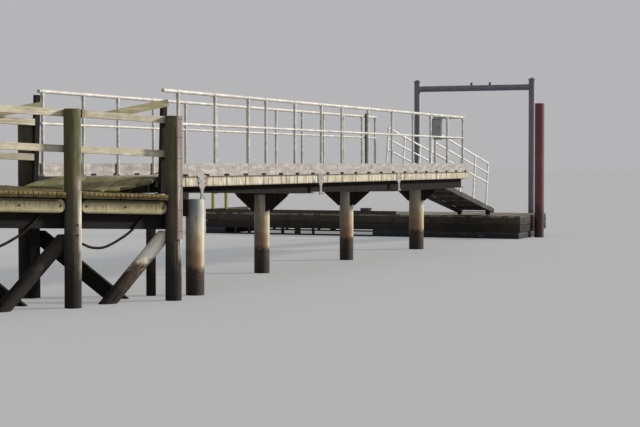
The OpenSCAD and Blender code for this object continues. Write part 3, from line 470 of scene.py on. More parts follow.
def fascia_concrete(name):
    """Ends of cast planks under leached lime: cream and white runs, ochre stains, a dark joint at each."""
    f = Finish(name, "B3AB98")
    runs = f.noise(30, 0.36, 0.64, stretch=(1, 1, 7), seed=2)
    f.patches("8F8258", 0.7, 120, 0.42, 0.58, (1, 1, 2), seed=4)
    f.over("E6E2D8", runs, 0.6)
    f.patches("7C7052", 0.5, 16, 0.54, 0.68, (1, 1, 7), seed=6)
    f.patches("A87A44", 0.6, 90, 0.58, 0.7, (1, 1, 1.4), seed=8)
    f.patches("5E5238", 0.5, 46, 0.5, 0.64, (1, 1, 5), seed=33)
    f.over("2B241A", f.joints(SLOT_X0, SLOT_PITCH, 0.016), 0.9)
    f.over("5A4F3A", f.joints(SLOT_X0 + SLOT_PITCH / 2, SLOT_PITCH, 0.008), 0.7)
    f.over("857458", f.joints(SLOT_X0, SLOT_PITCH, 0.045), 0.3)
    top = add(f.tree, "ShaderNodeMapRange", {0: f.height, 1: DECK_Z - 0.030, 2: DECK_Z - 0.012}).outputs[0]
    f.over("2A251D", top, 0.85)
    foot = add(f.tree, "ShaderNodeMapRange", {0: f.height, 1: SLAB_Z + 0.024, 2: SLAB_Z}).outputs[0]
    f.over("4A4233", foot, 0.6)
    f.rough(runs, 1.2).grit(10, 0.6)
    return f.done(0.88, specular=0.3)


def dull_zinc(name, tint, rust=0.5, white=0.25):
    """Hot-dipped steel gone dull: matt grey, chalky in places, rust starting at joints and feet, and painted
    light on its upward faces.
    """
    f = Finish(name, tint)
    f.patches("87837A", 0.35, 160, 0.4, 0.64, seed=1)
    f.patches("ECEAE4", white, 70, 0.44, 0.66, (3, 1, 1), seed=3)
    # Painted light: faces that look up are made lighter
    f.over("E6E4DE", f.upward(0.2, 0.8), 0.35)
    f.patches("8A6034", rust, 110, 0.58, 0.72, (1, 1, 2), seed=5)
    f.patches("4B4034", 0.5, 26, 0.66, 0.74, (1, 1, 3), seed=7)
    f.rough(f.noise(8, 0.35, 0.65), 0.3)
    return f.done(0.55, metallic=0.2)


def matt_paint(name, tint, fleck, under, low=None, sun_highlight=0.0):
    """Matt paint on steel: even colour, a painted highlight on its sunlit side, darker and streaked near the
    water.
    """
    f = Finish(name, tint)
    f.patches(fleck, 0.4, 120, 0.45, 0.62, (1, 1, 4), seed=2)
    f.patches(under, 0.45, 45, 0.62, 0.74, (1, 1, 3), seed=6)
    # Painted highlight on the sunlit side
    f.over("D9D7DC", f.towards(SUNLIT_AND_WEATHER_SIDE, 0.66, 0.9), sun_highlight)
    if low:
        f.over("201D1B", f.below(low, 240, 160), 0.8)
        f.patches("8B8578", 0.2, 60, 0.6, 0.72, (1, 1, 5), seed=10)
    f.rough(f.noise(14, 0.35, 0.65), 0.4)
    return f.done(0.6, specular=0.4)


def float_hull(name, tint):
    """Moulded float, dull and slimy at the water, with chalky scuffs along its side."""
    f = Finish(name, tint)
    f.patches("4A4C50", 0.5, 200, 0.45, 0.62, (1, 3, 1), seed=2)
    f.over("1A1917", f.below(70, 60, 50), 0.85)
    f.patches("9A9A98", 0.4, 60, 0.62, 0.74, (1, 4, 1), seed=6)
    f.rough(f.noise(30, 0.35, 0.65), 0.6)
    return f.done(0.7, specular=0.4)


def stage_timber(name, tint, long=(1, 30, 1)):
    """Softwood of the stage: grey-brown, grain one way, with damp dark patches and rusty marks."""
    f = Finish(name, tint)
    grain = f.noise(8, 0.35, 0.65, stretch=long, detail=5)
    f.patches("35302A", 0.5, 280, 0.42, 0.62, (1, 2, 1), seed=2)
    f.over("A7A294", grain, 0.4)
    f.patches("7A5738", 0.4, 130, 0.56, 0.7, seed=6)
    f.over("201C19", f.below(250, 160, 90), 0.6)
    f.tone("9C978C", "302D28")
    f.rough(grain, 1.4)
    return f.done(0.88, specular=0.3)


def rope_fibre(name):
    """Laid rope, wet and slimy: dark brown strands with paler worn ridges."""
    f = Finish(name, "211B14")
    f.patches("3D3323", 0.5, 9, 0.5, 0.68, seed=1)
    f.patches("17130F", 0.6, 60, 0.45, 0.62, seed=3)
    f.grit(5, 0.8)
    return f.done(0.9, specular=0.2)


FINISHES = {}


def finishes():
    """Makes every finish once and keeps it by name."""
    if FINISHES:
        return FINISHES
    FINISHES.update({
        "near_pile": pile_timber("driven_pile_timber", "7F7961", 0.8, 330, bleach=0.95),
        "far_pile": pile_timber("far_pile_timber", "4E493F", 0.5, 900),
        "dark_pile": pile_timber("corner_pile_timber", "4A453E", 0.3, 1150),
        "prop": pile_timber("thin_pile_timber", "5A5148", 0.1, 300),
        "deck": deck_ends("deck_board_timber"),
        "ramp": ramp_timber("mossy_ramp_timber"),
        "rail": sawn_timber("rail_board_timber", "D6CDB6", "8C826A", "5A4526", 0.28, bleach=0.9),
        "slope_rail": sawn_timber("upper_rail_timber", "989072", "6E684C", "5A4526", 0.4, toned=False),
        "edge": edge_pole("edge_pole_timber"),
        # Near black: partly the wet timber's own colour, partly painted shade
        "dark_beam": sawn_timber("wet_and_shaded_beam_timber", "1F1C1A", "0E0D0C", "1A1613", 0.05, wet=900, bleach=0.04),
        "dark_brace": sawn_timber("wet_brace_timber", "24211F", "100E0D", "1D1814", 0.03, wet=700,
                                  bleach=0.05),
        "post": sawn_timber("square_post_timber", "3B372F", "1E1B18", "4A3A22", 0.1, bleach=0.08,
                            upright=True),
        "side_post": pile_timber("side_post_timber", "3A3631", 0.3, 300),
        "facing": sawn_timber("facing_board_timber", "9F9187", "7C6E64", "6A5A3E", 0.02, bleach=0.55,
                              upright=True, toned=False),
        "brace": brace_timber("stripped_brace_log"),
        "column_1": coated_column("near_column_coating", "92969C", 930, 700, 520, 330),
        "column": coated_column("mid_column_coating", "918D84", 1060, 760, 560, 360),
        # Near black: partly the rusted steel's own colour, partly painted shade
        "beam": rusted_steel("rusted_and_shaded_beam_steel", "151211", 0.15, 0.04),
        "crosshead": rusted_steel("rusted_crosshead_steel", "241F1B", 0.3, 0.15),
        "bracket": rusted_steel("bracket_steel", "4D4A46", 0.4),
        "kerb": cast_concrete("washed_kerb_concrete", "9A9691", 0.5),
        "slab": cast_concrete("walkway_slab_concrete", "8F8B83"),
        "fascia": fascia_concrete("limed_fascia_concrete"),
        "tube": dull_zinc("dull_galvanised_tube", "B7B4AC", 0.35, 0.5),
        "strap": dull_zinc("worn_galvanised_strap", "7E7B74", 0.5, 0.25),
        "white_tube": dull_zinc("whitened_gangway_tube", "DCDBD7", 0.08, 0.85),
        "box": matt_paint("grey_box_paint", "96999B", "7A7E82", "B4B6B6"),
        "guide": matt_paint("dark_guide_paint", "6C6B74", "55555D", "7F7A74", 420, sun_highlight=0.6),
        "red": matt_paint("dull_red_paint", "6A3439", "4C272B", "3A2A28", 520),
        "marker": matt_paint("yellow_green_post_paint", "8F8F3C", "6E6E34", "4B4A30"),
        "gang_frame": rusted_steel("gangway_frame_steel", "55534F", 0.35),
        "gang_deck": sawn_timber("gangway_deck_timber", "4F4638", "2C261D", "3A3020", 0.15,
                                 math.radians(90), bleach=0.15),
        "stage": stage_timber("stage_deck_timber", "6F6B61", (30, 1, 1)),
        "waling": stage_timber("stage_side_timber", "625A59"),
        "float": float_hull("float_polymer", "34383E"),
        "roller": float_hull("roller_rubber", "2A2A2A"),
        "rope": rope_fibre("laid_rope_fibre"),
        "bolt": rusted_steel("bolt_steel", "3A332C", 0.7),
        "pale_bolt": dull_zinc("galvanised_bolt", "8E8A80", 0.6, 0.2),
    })
    return FINISHES


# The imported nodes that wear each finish
WORN_BY = {
    "column_1": "column_1",
    "column": "column_2 column_3 column_4",
    "prop": "centre_prop",
    "side_post": "side_post",
    "crosshead": "crosshead_1 crosshead_2 crosshead_3 crosshead_4",
    "beam": "beam_near beam_rear head_beam",
    "slab": "deck_bay_1 deck_bay_2 deck_bay_3",
    "kerb": "kerb_near kerb_rear",
    "strap": "joint_straps",
    "fascia": "fascia_near fascia_rear",
    "tube": "railing_near railing_rear railing_end",
    "box": "control_box",
    "bracket": "hinge_brackets stage_box guide_arms guide_bars",
    "gang_frame": "gangway_frame",
    "gang_deck": "gangway_deck",
    "white_tube": "gangway_rail_near gangway_rail_rear",
    "roller": "gangway_rollers",
    "stage": "stage_deck",
    "waling": "stage_frame",
    "float": "stage_floats",
    "marker": "stage_posts",
    "guide": "guide_leg_near guide_leg_rear guide_beam",
    "red": "red_pile",
    "near_pile": "piles_near",
    "far_pile": "piles_far",
    "dark_pile": "corner_pile",
    "dark_beam": "main_beams cross_timbers ramp_bearers",
    "edge": "edge_timbers",
    "deck": "approach_deck",
    "ramp": "ramp_deck",
    "rail": "rails_near rails_far",
    "slope_rail": "sloping_rails",
    "post": "tall_posts",
    "brace": "round_braces",
    "dark_brace": "bent_braces",
    "facing": "facing_board",
    "rope": "rope_1 rope_2",
}


def wear(obj, finish):
    """Puts one finish on an object in place of any other."""
    obj.data.materials.clear()
    obj.data.materials.append(finishes()[finish])


def keep(obj, finish, body):
    """Gives a finished piece its material and its body."""
    wear(obj, finish)
    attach(obj, body)


def new_object(name, mesh):
    """An object in the scene that holds this mesh."""
    obj = bpy.data.objects.new(name, mesh)
    bpy.context.scene.collection.objects.link(obj)
    return obj


def from_bmesh(name, bm, smooth=True):
    """A new object from a bmesh, its normals put right."""
    bmesh.ops.recalc_face_normals(bm, faces=bm.faces)
    mesh = bpy.data.meshes.new(name)
    bm.to_mesh(mesh)
    bm.free()
    if smooth:
        mesh.shade_smooth()
        mesh.set_sharp_from_angle(angle=math.radians(35))
    return new_object(name, mesh)


def settled(obj):
    """Turns an object's modifiers into plain mesh and takes them off."""
    depsgraph = bpy.context.evaluated_depsgraph_get()
    mesh = bpy.data.meshes.new_from_object(obj.evaluated_get(depsgraph))
    obj.modifiers.clear()
    old = obj.data
    obj.data = mesh
    bpy.data.meshes.remove(old)
    return obj


def repeat_tree(name, shape):
    """A node tree that sets one shape on every point, sized, turned and toned as the point says."""
    if name in bpy.data.node_groups:
        return bpy.data.node_groups[name]
    tree = bpy.data.node_groups.new(name, "GeometryNodeTree")
    for socket, kind in (("Points", "Geometry"), ("Warp", "Float"), ("Warp Scale", "Float"),
                         ("Seed", "Float"), ("Material", "Material")):
        tree.interface.new_socket(socket, in_out="INPUT", socket_type="NodeSocket" + kind)
    tree.interface.new_socket("Pieces", in_out="OUTPUT", socket_type="NodeSocketGeometry")
    given = add(tree, "NodeGroupInput").outputs
    size, turn = [add(tree, "GeometryNodeInputNamedAttribute", {"Name": key}, data_type="FLOAT_VECTOR")
                  for key in ("size", "turn")]
    way = add(tree, "FunctionNodeEulerToRotation", {0: turn.outputs[0]})
    placed = add(tree, "GeometryNodeInstanceOnPoints", {
        "Points": given["Points"], "Instance": shape(tree), "Rotation": way.outputs[0],
        "Scale": size.outputs[0]})
    solid = add(tree, "GeometryNodeRealizeInstances", {0: placed.outputs[0]})
    here = add(tree, "GeometryNodeInputPosition").outputs[0]
    ripple = add(tree, "ShaderNodeTexNoise", {
        "Vector": here, "W": given["Seed"], "Scale": given["Warp Scale"]}, noise_dimensions="4D")
    centred = add(tree, "ShaderNodeVectorMath", {
        0: ripple.outputs[1], 1: (0.5, 0.5, 0.5)}, operation="SUBTRACT")
    shift = add(tree, "ShaderNodeVectorMath", {
        0: centred.outputs[0], "Scale": given["Warp"]}, operation="SCALE")
    moved = add(tree, "GeometryNodeSetPosition", {0: solid.outputs[0], "Offset": shift.outputs[0]})
    dressed = add(tree, "GeometryNodeSetMaterial", {0: moved.outputs[0], "Material": given["Material"]})
    add(tree, "NodeGroupOutput", {0: dressed.outputs[0]})
    return tree


def board_shape(tree):
    """A unit board, with points along its length for it to warp."""
    return add(tree, "GeometryNodeMeshCube", {
        "Size": (1, 1, 1), "Vertices X": 3, "Vertices Y": 9, "Vertices Z": 2}).outputs[0]


def bolt_shape(tree):
    """A bolt's hexagonal head on its round washer, standing on z = 0, one unit across its washer."""
    washer = add(tree, "GeometryNodeMeshCylinder", {"Vertices": 16, "Radius": 0.5, "Depth": 0.12})
    lifted = add(tree, "GeometryNodeTransform", {0: washer.outputs[0], "Translation": (0, 0, 0.06)})
    head = add(tree, "GeometryNodeMeshCylinder", {"Vertices": 6, "Radius": 0.3, "Depth": 0.34})
    raised = add(tree, "GeometryNodeTransform", {0: head.outputs[0], "Translation": (0, 0, 0.27)})
    both = add(tree, "GeometryNodeJoinGeometry")
    for part in (lifted, raised):
        tree.links.new(part.outputs[0], both.inputs[0])
    return both.outputs[0]


def sleeve_shape(tree):
    """A round fitting along z, one unit across and one long."""
    return add(tree, "GeometryNodeMeshCylinder", {"Vertices": 20, "Radius": 0.5, "Depth": 1.0}).outputs[0]


def repeated(name, kind, points, finish, bevel=0.0, warp=0.0, seed=7.0, warp_scale=3.0):
    """Sets boards, bolts or sleeves at points, each (place matrix, size, tone), as one plain mesh."""
    shapes = {"boards": board_shape, "bolts": bolt_shape, "sleeves": sleeve_shape}
    mesh = bpy.data.meshes.new(name)
    mesh.from_pydata([place.to_translation() for place, size, tone in points], [], [])
    for key, values in (("size", [c for place, size, tone in points for c in size]),
                        ("turn", [c for place, size, tone in points for c in place.to_euler()])):
        mesh.attributes.new(key, "FLOAT_VECTOR", "POINT").data.foreach_set("vector", values)
    tones = [tone for place, size, tone in points]
    mesh.attributes.new("tone", "FLOAT", "POINT").data.foreach_set("value", tones)
    obj = new_object(name, mesh)
    modifier = obj.modifiers.new("repeat", "NODES")
    modifier.node_group = repeat_tree("jetty_" + kind, shapes[kind])
    ids = {s.name: s.identifier for s in modifier.node_group.interface.items_tree if s.in_out == "INPUT"}
    modifier[ids["Warp"]] = warp
    modifier[ids["Warp Scale"]] = warp_scale
    modifier[ids["Seed"]] = seed
    modifier[ids["Material"]] = finishes()[finish]
    if bevel:
        edge = obj.modifiers.new("edge", "BEVEL")
        edge.width = bevel
        edge.segments = 1
        edge.limit_method = "ANGLE"
        edge.angle_limit = math.radians(50)
    obj = settled(obj)
    obj.data.shade_smooth()
    obj.data.set_sharp_from_angle(angle=math.radians(30))
    for key in ("size", "turn"):
        if key in obj.data.attributes:
            obj.data.attributes.remove(obj.data.attributes[key])
    return obj


def lofted(bm, rings):
    """Joins each ring of points to the next with faces."""
    for a, b in zip(rings, rings[1:]):
        for k in range(len(a)):
            after = (k + 1) % len(a)
            bm.faces.new((a[k], a[after], b[after], b[k]))


def fitted(name, kind, points, finish, body, slot, **shape):
    """Repeated pieces with their body; the slot argument is not used."""
    obj = repeated(name, kind, points, finish, **shape)
    keep(obj, finish, body)
    return obj


def trimmed(bm, planes):
    """Cuts a closed mesh by planes, each a point and the direction cleared, and closes the cuts."""
    for point, outward in planes:
        everything = bm.verts[:] + bm.edges[:] + bm.faces[:]
        cut = bmesh.ops.bisect_plane(bm, geom=everything, plane_co=point, plane_no=outward, clear_outer=True)
        rim = [e for e in cut["geom_cut"] if isinstance(e, bmesh.types.BMEdge)]
        bmesh.ops.holes_fill(bm, edges=rim, sides=0)
    bmesh.ops.recalc_face_normals(bm, faces=bm.faces)


def trim_object(obj, planes):
    """The same cuts on an object's mesh."""
    bm = bmesh.new()
    bm.from_mesh(obj.data)
    trimmed(bm, planes)
    bm.to_mesh(obj.data)
    bm.free()


def shifted(frame_of, x, y, z):
    """A place at these distances along one of the frames."""
    return frame_of @ Matrix.Translation((x, y, z))


def sleeve_size(across, length):
    """A sleeve's size from its width and its length."""
    return (across, across, length)


def facing_out(position, outward):
    """A place whose z points outward, for a bolt head."""
    return Matrix.Translation(position) @ Vector(outward).to_track_quat("Z", "Y").to_matrix().to_4x4()


def bolts_on(frame_of, spots, outward, size):
    """Bolt points at places in a frame, all facing one way in it."""
    way = frame_of.to_3x3() @ Vector(outward)
    return [(facing_out(frame_of @ Vector(spot), way), (size, size, size), EVEN_TONE) for spot in spots]


def rough_pole(bm, place, length, radius, seed, checks=4, head=True):
    """Lofts a round timber along z: slightly out of round, split by long checks, its head worn."""
    draw = random.Random(seed)
    sides, row = 64, 0.045
    uneven, check_depth, check_half = 0.004, 0.016, 0.075
    rows = max(6, round(length / row))
    splits = []
    for _ in range(checks):
        splits.append((draw.uniform(0, 2 * math.pi), draw.uniform(-0.25, 0.25), draw.uniform(0, 6)))
    levels = [length * i / rows for i in range(rows)] + [length - 0.012, length - 0.003, length]
    rings = []
    for level in levels:
        ring = []
        worn = 0.0
        if head and level >= length - 0.002:
            worn = 0.016
        elif head and level >= length - 0.02:
            worn = 0.006
        for k in range(sides):
            angle = 2 * math.pi * k / sides
            here = Vector((math.cos(angle), math.sin(angle), level * 1.4 + seed))
            reach = radius - uneven + uneven * noise.noise(here * 1.3)
            reach += 0.0018 * noise.noise(Vector((here.x * 9, here.y * 9, level * 2)))
            for start, drift, phase in splits:
                off = abs((angle - start - drift * level + math.pi) % (2 * math.pi) - math.pi)
                open_here = max(0.0, noise.noise(Vector((phase, level * 0.9, 3.0))) + 0.35)
                reach -= check_depth * open_here * max(0.0, 1 - off / check_half)
            reach -= worn * (0.7 + 0.6 * noise.noise(Vector((angle * 2, seed, 1.0))))
            dip = 0.0
            if level == length and head:
                dip = 0.006 * noise.noise(Vector((here.x * 3, here.y * 3, seed)))
            ring.append(bm.verts.new(place @ Vector((reach * here.x, reach * here.y, level - abs(dip)))))
        rings.append(ring)
    lofted(bm, rings)
    for ring, up in ((rings[0], -1), (rings[-1], 1)):
        centre = Vector((0, 0, 0))
        for vert in ring:
            centre += vert.co
        hub = bm.verts.new(centre / sides - place.to_3x3() @ Vector((0, 0, 0.004 * up if head else 0)))
        for k in range(sides):
            corner = (ring[k], ring[(k + 1) % sides])
            bm.faces.new(corner + (hub,) if up > 0 else corner[::-1] + (hub,))


def near_x(i):
    """Where the near piles stand along the approach."""
    return NEAR_X0 - i * BAY


def far_x(i):
    """Where the far piles stand along the approach."""
    return FAR_X0 - i * BAY


def rail_fall(x):
    """Height that the approach's deck gains towards the land."""
    return -x * math.tan(FALL)


def pile_head(x):
    """Height of a pile's head at a place along the approach."""
    return APPROACH_Z + rail_fall(x) + PILE_RISE


class DressPacked(bpy.types.Operator):
    """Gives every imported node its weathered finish"""
    bl_idname = "jetty.dress_packed"
    bl_label = "Finish packed parts"

    def execute(self, context):
        for finish, nodes in WORN_BY.items():
            for node in nodes.split():
                wear(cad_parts[node], finish)
        return {"FINISHED"}


class AddPiles(bpy.types.Operator):
    """Turns the approach's piles and the corner pile into split and worn round timbers"""
    bl_idname = "jetty.add_piles"
    bl_label = "Timber piles"

    def execute(self, context):
        near = [(near_x(i), -ROW_Y, PILE_R, pile_head(near_x(i)), 0) for i in range(BAYS + 1)]
        far = [(far_x(i), ROW_Y, PILE_R, pile_head(far_x(i)), 0) for i in range(1, BAYS + 1)]
        stump_r, post_drop, scarf = 0.140, 0.080, 0.060
        corner = [(CORNER_X, CORNER_Y, stump_r, BEAM_Z, 0),
                  (CORNER_POST_X, ROW_Y + 0.012, PILE_R, pile_head(CORNER_X) - post_drop, BEAM_Z - scarf)]
        rows = (
            ("near_row", "piles_near", "near_pile", "approach_timber", near),
            ("far_row", "piles_far", "far_pile", "approach_timber", far),
            ("corner_timbers", "corner_pile", "dark_pile", "dark_timber", corner),
        )
        for row, (name, node, finish, slot, timbers) in enumerate(rows):
            bm = bmesh.new()
            for i, (x, y, radius, top, foot) in enumerate(timbers):
                rough_pole(bm, shifted(APPROACH, x, y, foot), top - foot, radius, 11 + 7 * i + 3 * row)
            obj = from_bmesh(name, bm)
            keep(obj, finish, "jetty")
            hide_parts(node)
        return {"FINISHED"}


class AddBraces(bpy.types.Operator):
    """Makes the round braces of the near row from stripped logs, cut level at the beam and the water"""
    bl_idname = "jetty.add_braces"
    bl_label = "Round braces"

    def execute(self, context):
        slope = BRACE_TOP / BRACE_RUN
        lead, let_in = 0.050, 0.015
        past_foot, past_head = 0.2 * BRACE_RUN, 0.120
        y = -(ROW_Y - PILE_R - BRACE_D / 2 + let_in)
        bm = bmesh.new()
        for i in range(BAYS):
            head = near_x(i) + lead
            start = APPROACH @ Vector((head - BRACE_RUN - past_foot, y, -past_foot * slope))
            end = APPROACH @ Vector((head + past_head, y, BRACE_TOP + past_head * slope))
            way = (end - start).to_track_quat("Z", "Y").to_matrix().to_4x4()
            rough_pole(bm, Matrix.Translation(start) @ way, (end - start).length, BRACE_D / 2, 40 + 5 * i, 2,
                       head=False)
        up = Vector((0, 0, 1))
        trimmed(bm, [(BRACE_TOP * up, up), (0 * up, -up)])
        obj = from_bmesh("brace_logs", bm)
        keep(obj, "brace", "jetty")
        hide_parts("round_braces")
        return {"FINISHED"}


class AddApproachDeck(bpy.types.Operator):
    """Lays the approach's narrow deck boards, cut round the piles and along the skewed ends"""
    bl_idname = "jetty.add_approach_deck"
    bl_label = "Approach deck boards"

    def execute(self, context):
        s = context.scene.jetty_deck
        draw = random.Random(s.seed)
        pitch = s.board + s.gap
        thickness, underside, ragged, clear = 0.065, 0.0695, 0.009, 0.012
        notches = [(near_x(i), -1) for i in range(BAYS + 1)] + [(far_x(i), 1) for i in range(1, BAYS + 1)]
        notches.append((CORNER_POST_X, 1))
        points = []
        x = DECK_FAR[0]
        while x < DECK_NEAR[1]:
            middle = x + pitch / 2
            low = -DECK_HALF + draw.uniform(0, ragged)
            high = DECK_HALF - draw.uniform(0, ragged)
            for at, side in notches:
                if abs(middle - at) < PILE_R + pitch / 2:
                    if side < 0:
                        low = -(ROW_Y - PILE_R - clear)
                    else:
                        high = ROW_Y - PILE_R - clear
            thick = thickness + draw.uniform(-0.004, 0.003)
            place = shifted(ON_DECK, middle, (low + high) / 2, -underside + thick / 2) \
                @ Matrix.Rotation(draw.uniform(-0.02, 0.02), 4, "Y")
            points.append((place, (s.board * draw.uniform(0.94, 1.0), high - low, thick), draw.random()))
            x += pitch
        obj = repeated("approach_boards", "boards", points, "deck", bevel=0.005, warp=0.005, seed=3.0)
        ends = []
        for a, b, outward in ((DECK_NEAR[0], DECK_FAR[0], 1), (DECK_NEAR[1], DECK_FAR[1], -1)):
            start = ON_DECK @ Vector((a, -DECK_HALF, 0))
            run = (ON_DECK @ Vector((b, DECK_HALF, 0))) - start
            ends.append((start, run.cross(Vector((0, 0, 1))).normalized() * -outward))
        trim_object(obj, ends)
        keep(obj, "deck", "jetty")
        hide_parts("approach_deck")
        return {"FINISHED"}


class AddRamp(bpy.types.Operator):
    """Boards the ramp from the approach's deck up to the walkway's, one board pale and new"""
    bl_idname = "jetty.add_ramp"
    bl_label = "Ramp boards"

    def execute(self, context):
        draw = random.Random(5)
        slope = Matrix.Translation((LAND_X, 0, DECK_Z)) @ Matrix.Rotation(SKEW, 4, "Z") \
            @ Matrix.Rotation(-RAMP_ANGLE, 4, "Y")
        count, pitch, width, length = 16, 0.150, 0.143, 1.600
        first, middle, underside, pale = -1.125, -0.500, 0.045, 9
        points = []
        for i in range(count):
            thick = 0.0435 - draw.uniform(0, 0.002)
            place = shifted(slope, middle, first + pitch * i, -underside + thick / 2) \
                @ Matrix.Rotation(draw.uniform(-0.006, 0.006), 4, "X") @ QUARTER
            points.append((place, (width, length, thick), 0.85 if i == pale else draw.uniform(0.3, 0.6)))
        obj = repeated("ramp_boards", "boards", points, "ramp", bevel=0.004, warp=0.004, seed=8.0)
        walk_near, walk_rear = -RAIL_Y + 0.040, 0.660
        approach_near, approach_far = -RAIL_OUT + 0.090, RAIL_OUT - 0.080
        across = APPROACH.to_3x3() @ Vector((0, 1, 0))
        deck_up = ON_DECK.to_3x3() @ Vector((0, 0, 1))
        seaward = Matrix.Rotation(SKEW, 3, "Z") @ Vector((1, 0, 0))
        trim_object(obj, [
            (Vector((LAND_X, 0, 0)), seaward),
            (Vector((0, walk_near, 0)), Vector((0, -1, 0))),
            (Vector((0, walk_rear, 0)), Vector((0, 1, 0))),
            (APPROACH @ Vector((0, approach_near, 0)), -across),
            (APPROACH @ Vector((0, approach_far, 0)), across),
            (ON_DECK @ Vector((0, 0, MM)), -deck_up)])
        keep(obj, "ramp", "jetty")
        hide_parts("ramp_deck")
        return {"FINISHED"}


class AddTimberRails(bpy.types.Operator):
    """Nails the rail boards along the piles in lengths of two bays, a little bowed and out of line"""
    bl_idname = "jetty.add_timber_rails"
    bl_label = "Timber rails"

    def execute(self, context):
        draw = random.Random(9)
        tall, thick, end_gap, shortest = 0.088, 0.040, 0.004, 0.050
        past_first, past_last, into_post = 0.060, 0.270, 0.033
        sides = (
            ("near_rail_boards", "rails_near", -RAIL_OUT + thick / 2, near_x, NEAR_X0 + past_first, (0, 0)),
            ("far_rail_boards", "rails_far", RAIL_OUT - thick / 2, far_x, TALL_FAR_X - into_post, FAR_DROP),
        )
        for name, node, y, pile_x, seaward, drop in sides:
            points = []
            for row, top in enumerate((TOP_RAIL, LOW_RAIL)):
                stops = [seaward] + [pile_x(i) for i in range(1 + row, BAYS + 1, 2)]
                stops.append(pile_x(BAYS) - past_last)
                for start, end in zip(stops, stops[1:]):
                    if start - end < shortest:
                        continue
                    z = top - drop[row] - tall / 2 + draw.uniform(-0.003, 0.003)
                    place = shifted(ON_APPROACH, (start + end) / 2, y, z) \
                        @ Matrix.Rotation(draw.uniform(-0.0015, 0.0015), 4, "Y") @ QUARTER
                    size = (thick - draw.uniform(0, 0.003), start - end - end_gap,
                            tall - draw.uniform(0, 0.004))
                    points.append((place, size, 0.4 + 0.45 * draw.random()))
            if node == "rails_near":
                cleat = (0.056, 0.102, 0.034)
                place = shifted(ON_APPROACH, CLEAT_X + 0.030, -RAIL_OUT - 0.0175, TOP_RAIL - 0.0435) \
                    @ Matrix.Rotation(math.radians(90), 4, "X")
                points.append((place, cleat, 0.2))
            obj = fitted(name, "boards", points, "rail", "jetty", "approach_timber",
                         bevel=0.004, warp=0.014, seed=2.0, warp_scale=0.9)
            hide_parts(node)
        return {"FINISHED"}


class AddTimberBolts(bpy.types.Operator):
    """Sets the bolts, nails and washers that hold rails, beams, braces and facing to the piles"""
    bl_idname = "jetty.add_timber_bolts"
    bl_label = "Timber bolts"

    def execute(self, context):
        rail_nail, pile_bolt, beam_bolt, facing_nail = 0.016, 0.038, 0.026, 0.013
        rail_face, pile_face = -RAIL_OUT + 0.041, ROW_Y + PILE_R - 0.010
        beam_face, facing_face = -BEAM_IN - 0.120, -ROW_Y - PILE_R - 0.022
        beam_drop, from_pile, nail_drops = 0.167, 0.075, (0.028, 0.062)
        points = []
        for i in range(BAYS + 1):
            for rail in (TOP_RAIL, LOW_RAIL):
                for drop in nail_drops:
                    spots = [(near_x(i) + dx, rail_face, rail - drop) for dx in (-0.030, 0.030)]
                    points += bolts_on(ON_APPROACH, spots, (0, 1, 0), rail_nail)
            spots = [(near_x(i), -pile_face, z) for z in (0.860, 0.980)]
            points += bolts_on(APPROACH, spots, (0, -1, 0), pile_bolt)
            if i:
                spots = [(far_x(i), pile_face, z) for z in (0.900, 1.020)]
                points += bolts_on(APPROACH, spots, (0, 1, 0), pile_bolt)
        for i in range(BAYS):
            ends = (near_x(i) - PILE_R - from_pile, near_x(i + 1) + PILE_R + from_pile)
            for x in ends + ((near_x(i) + near_x(i + 1)) / 2,):
                points += bolts_on(ON_DECK, [(x, beam_face, -beam_drop)], (0, -1, 0), beam_bolt)
        for z in (0.860, 1.120, 1.420, 1.760, 2.020, 2.240):
            spots = [(NEAR_X0 + dx, facing_face, z) for dx in (-0.010, 0.030)]
            points += bolts_on(APPROACH, spots, (0, -1, 0), facing_nail)
        fitted("timber_bolts", "bolts", points, "bolt", "jetty", "approach_timber")
        return {"FINISHED"}


# A slack rope's course before the near main beam, in mm from the pile that it hangs from
ROPE_POINTS = (
    (105.6, 0, 712), (125, 0, 711), (160, 18, 702), (202, 40, 691), (255, 58, 672),
    (312, 67, 657), (378, 67.5, 649), (442, 67.5, 648), (510, 67.5, 658), (574, 67.5, 678),
    (650, 67.5, 708), (721, 67.5, 742), (775, 67.5, 768), (826, 67.5, 796), (882, 67.5, 832),
    (936, 67.5, 873), (975, 72, 903), (1007, 79, 931), (1050, 79, 968), (1088, 79, 1002))


class AddRopes(bpy.types.Operator):
    """Lays the slack ropes before the near main beam as three twisted strands"""
    bl_idname = "jetty.add_ropes"
    bl_label = "Slack ropes"

    def execute(self, context):
        s = context.scene.jetty_rope
        for index in (1, 2):
            base = Vector((near_x(index), -ROW_Y, rail_fall(near_x(index))))
            path = [APPROACH @ (base + Vector(p) * MM) for p in ROPE_POINTS]
            obj = twisted_rope("slack_rope_%d" % index, path, s.diameter, s.lay)
            keep(obj, "rope", "jetty")
            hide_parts("rope_%d" % index)
        return {"FINISHED"}


def smooth_path(points, step):
    """Points along a smooth curve through the given ones, about step apart."""
    out = []
    for i in range(len(points) - 1):
        p0 = points[max(i - 1, 0)]
        p1, p2 = points[i], points[i + 1]
        p3 = points[min(i + 2, len(points) - 1)]
        count = max(2, round((p2 - p1).length / step))
        for k in range(count):
            t = k / count
            out.append(0.5 * ((2 * p1) + (p2 - p0) * t + (2 * p0 - 5 * p1 + 4 * p2 - p3) * t * t
                              + (3 * p1 - p0 - 3 * p2 + p3) * t ** 3))
    out.append(points[-1].copy())
    return out


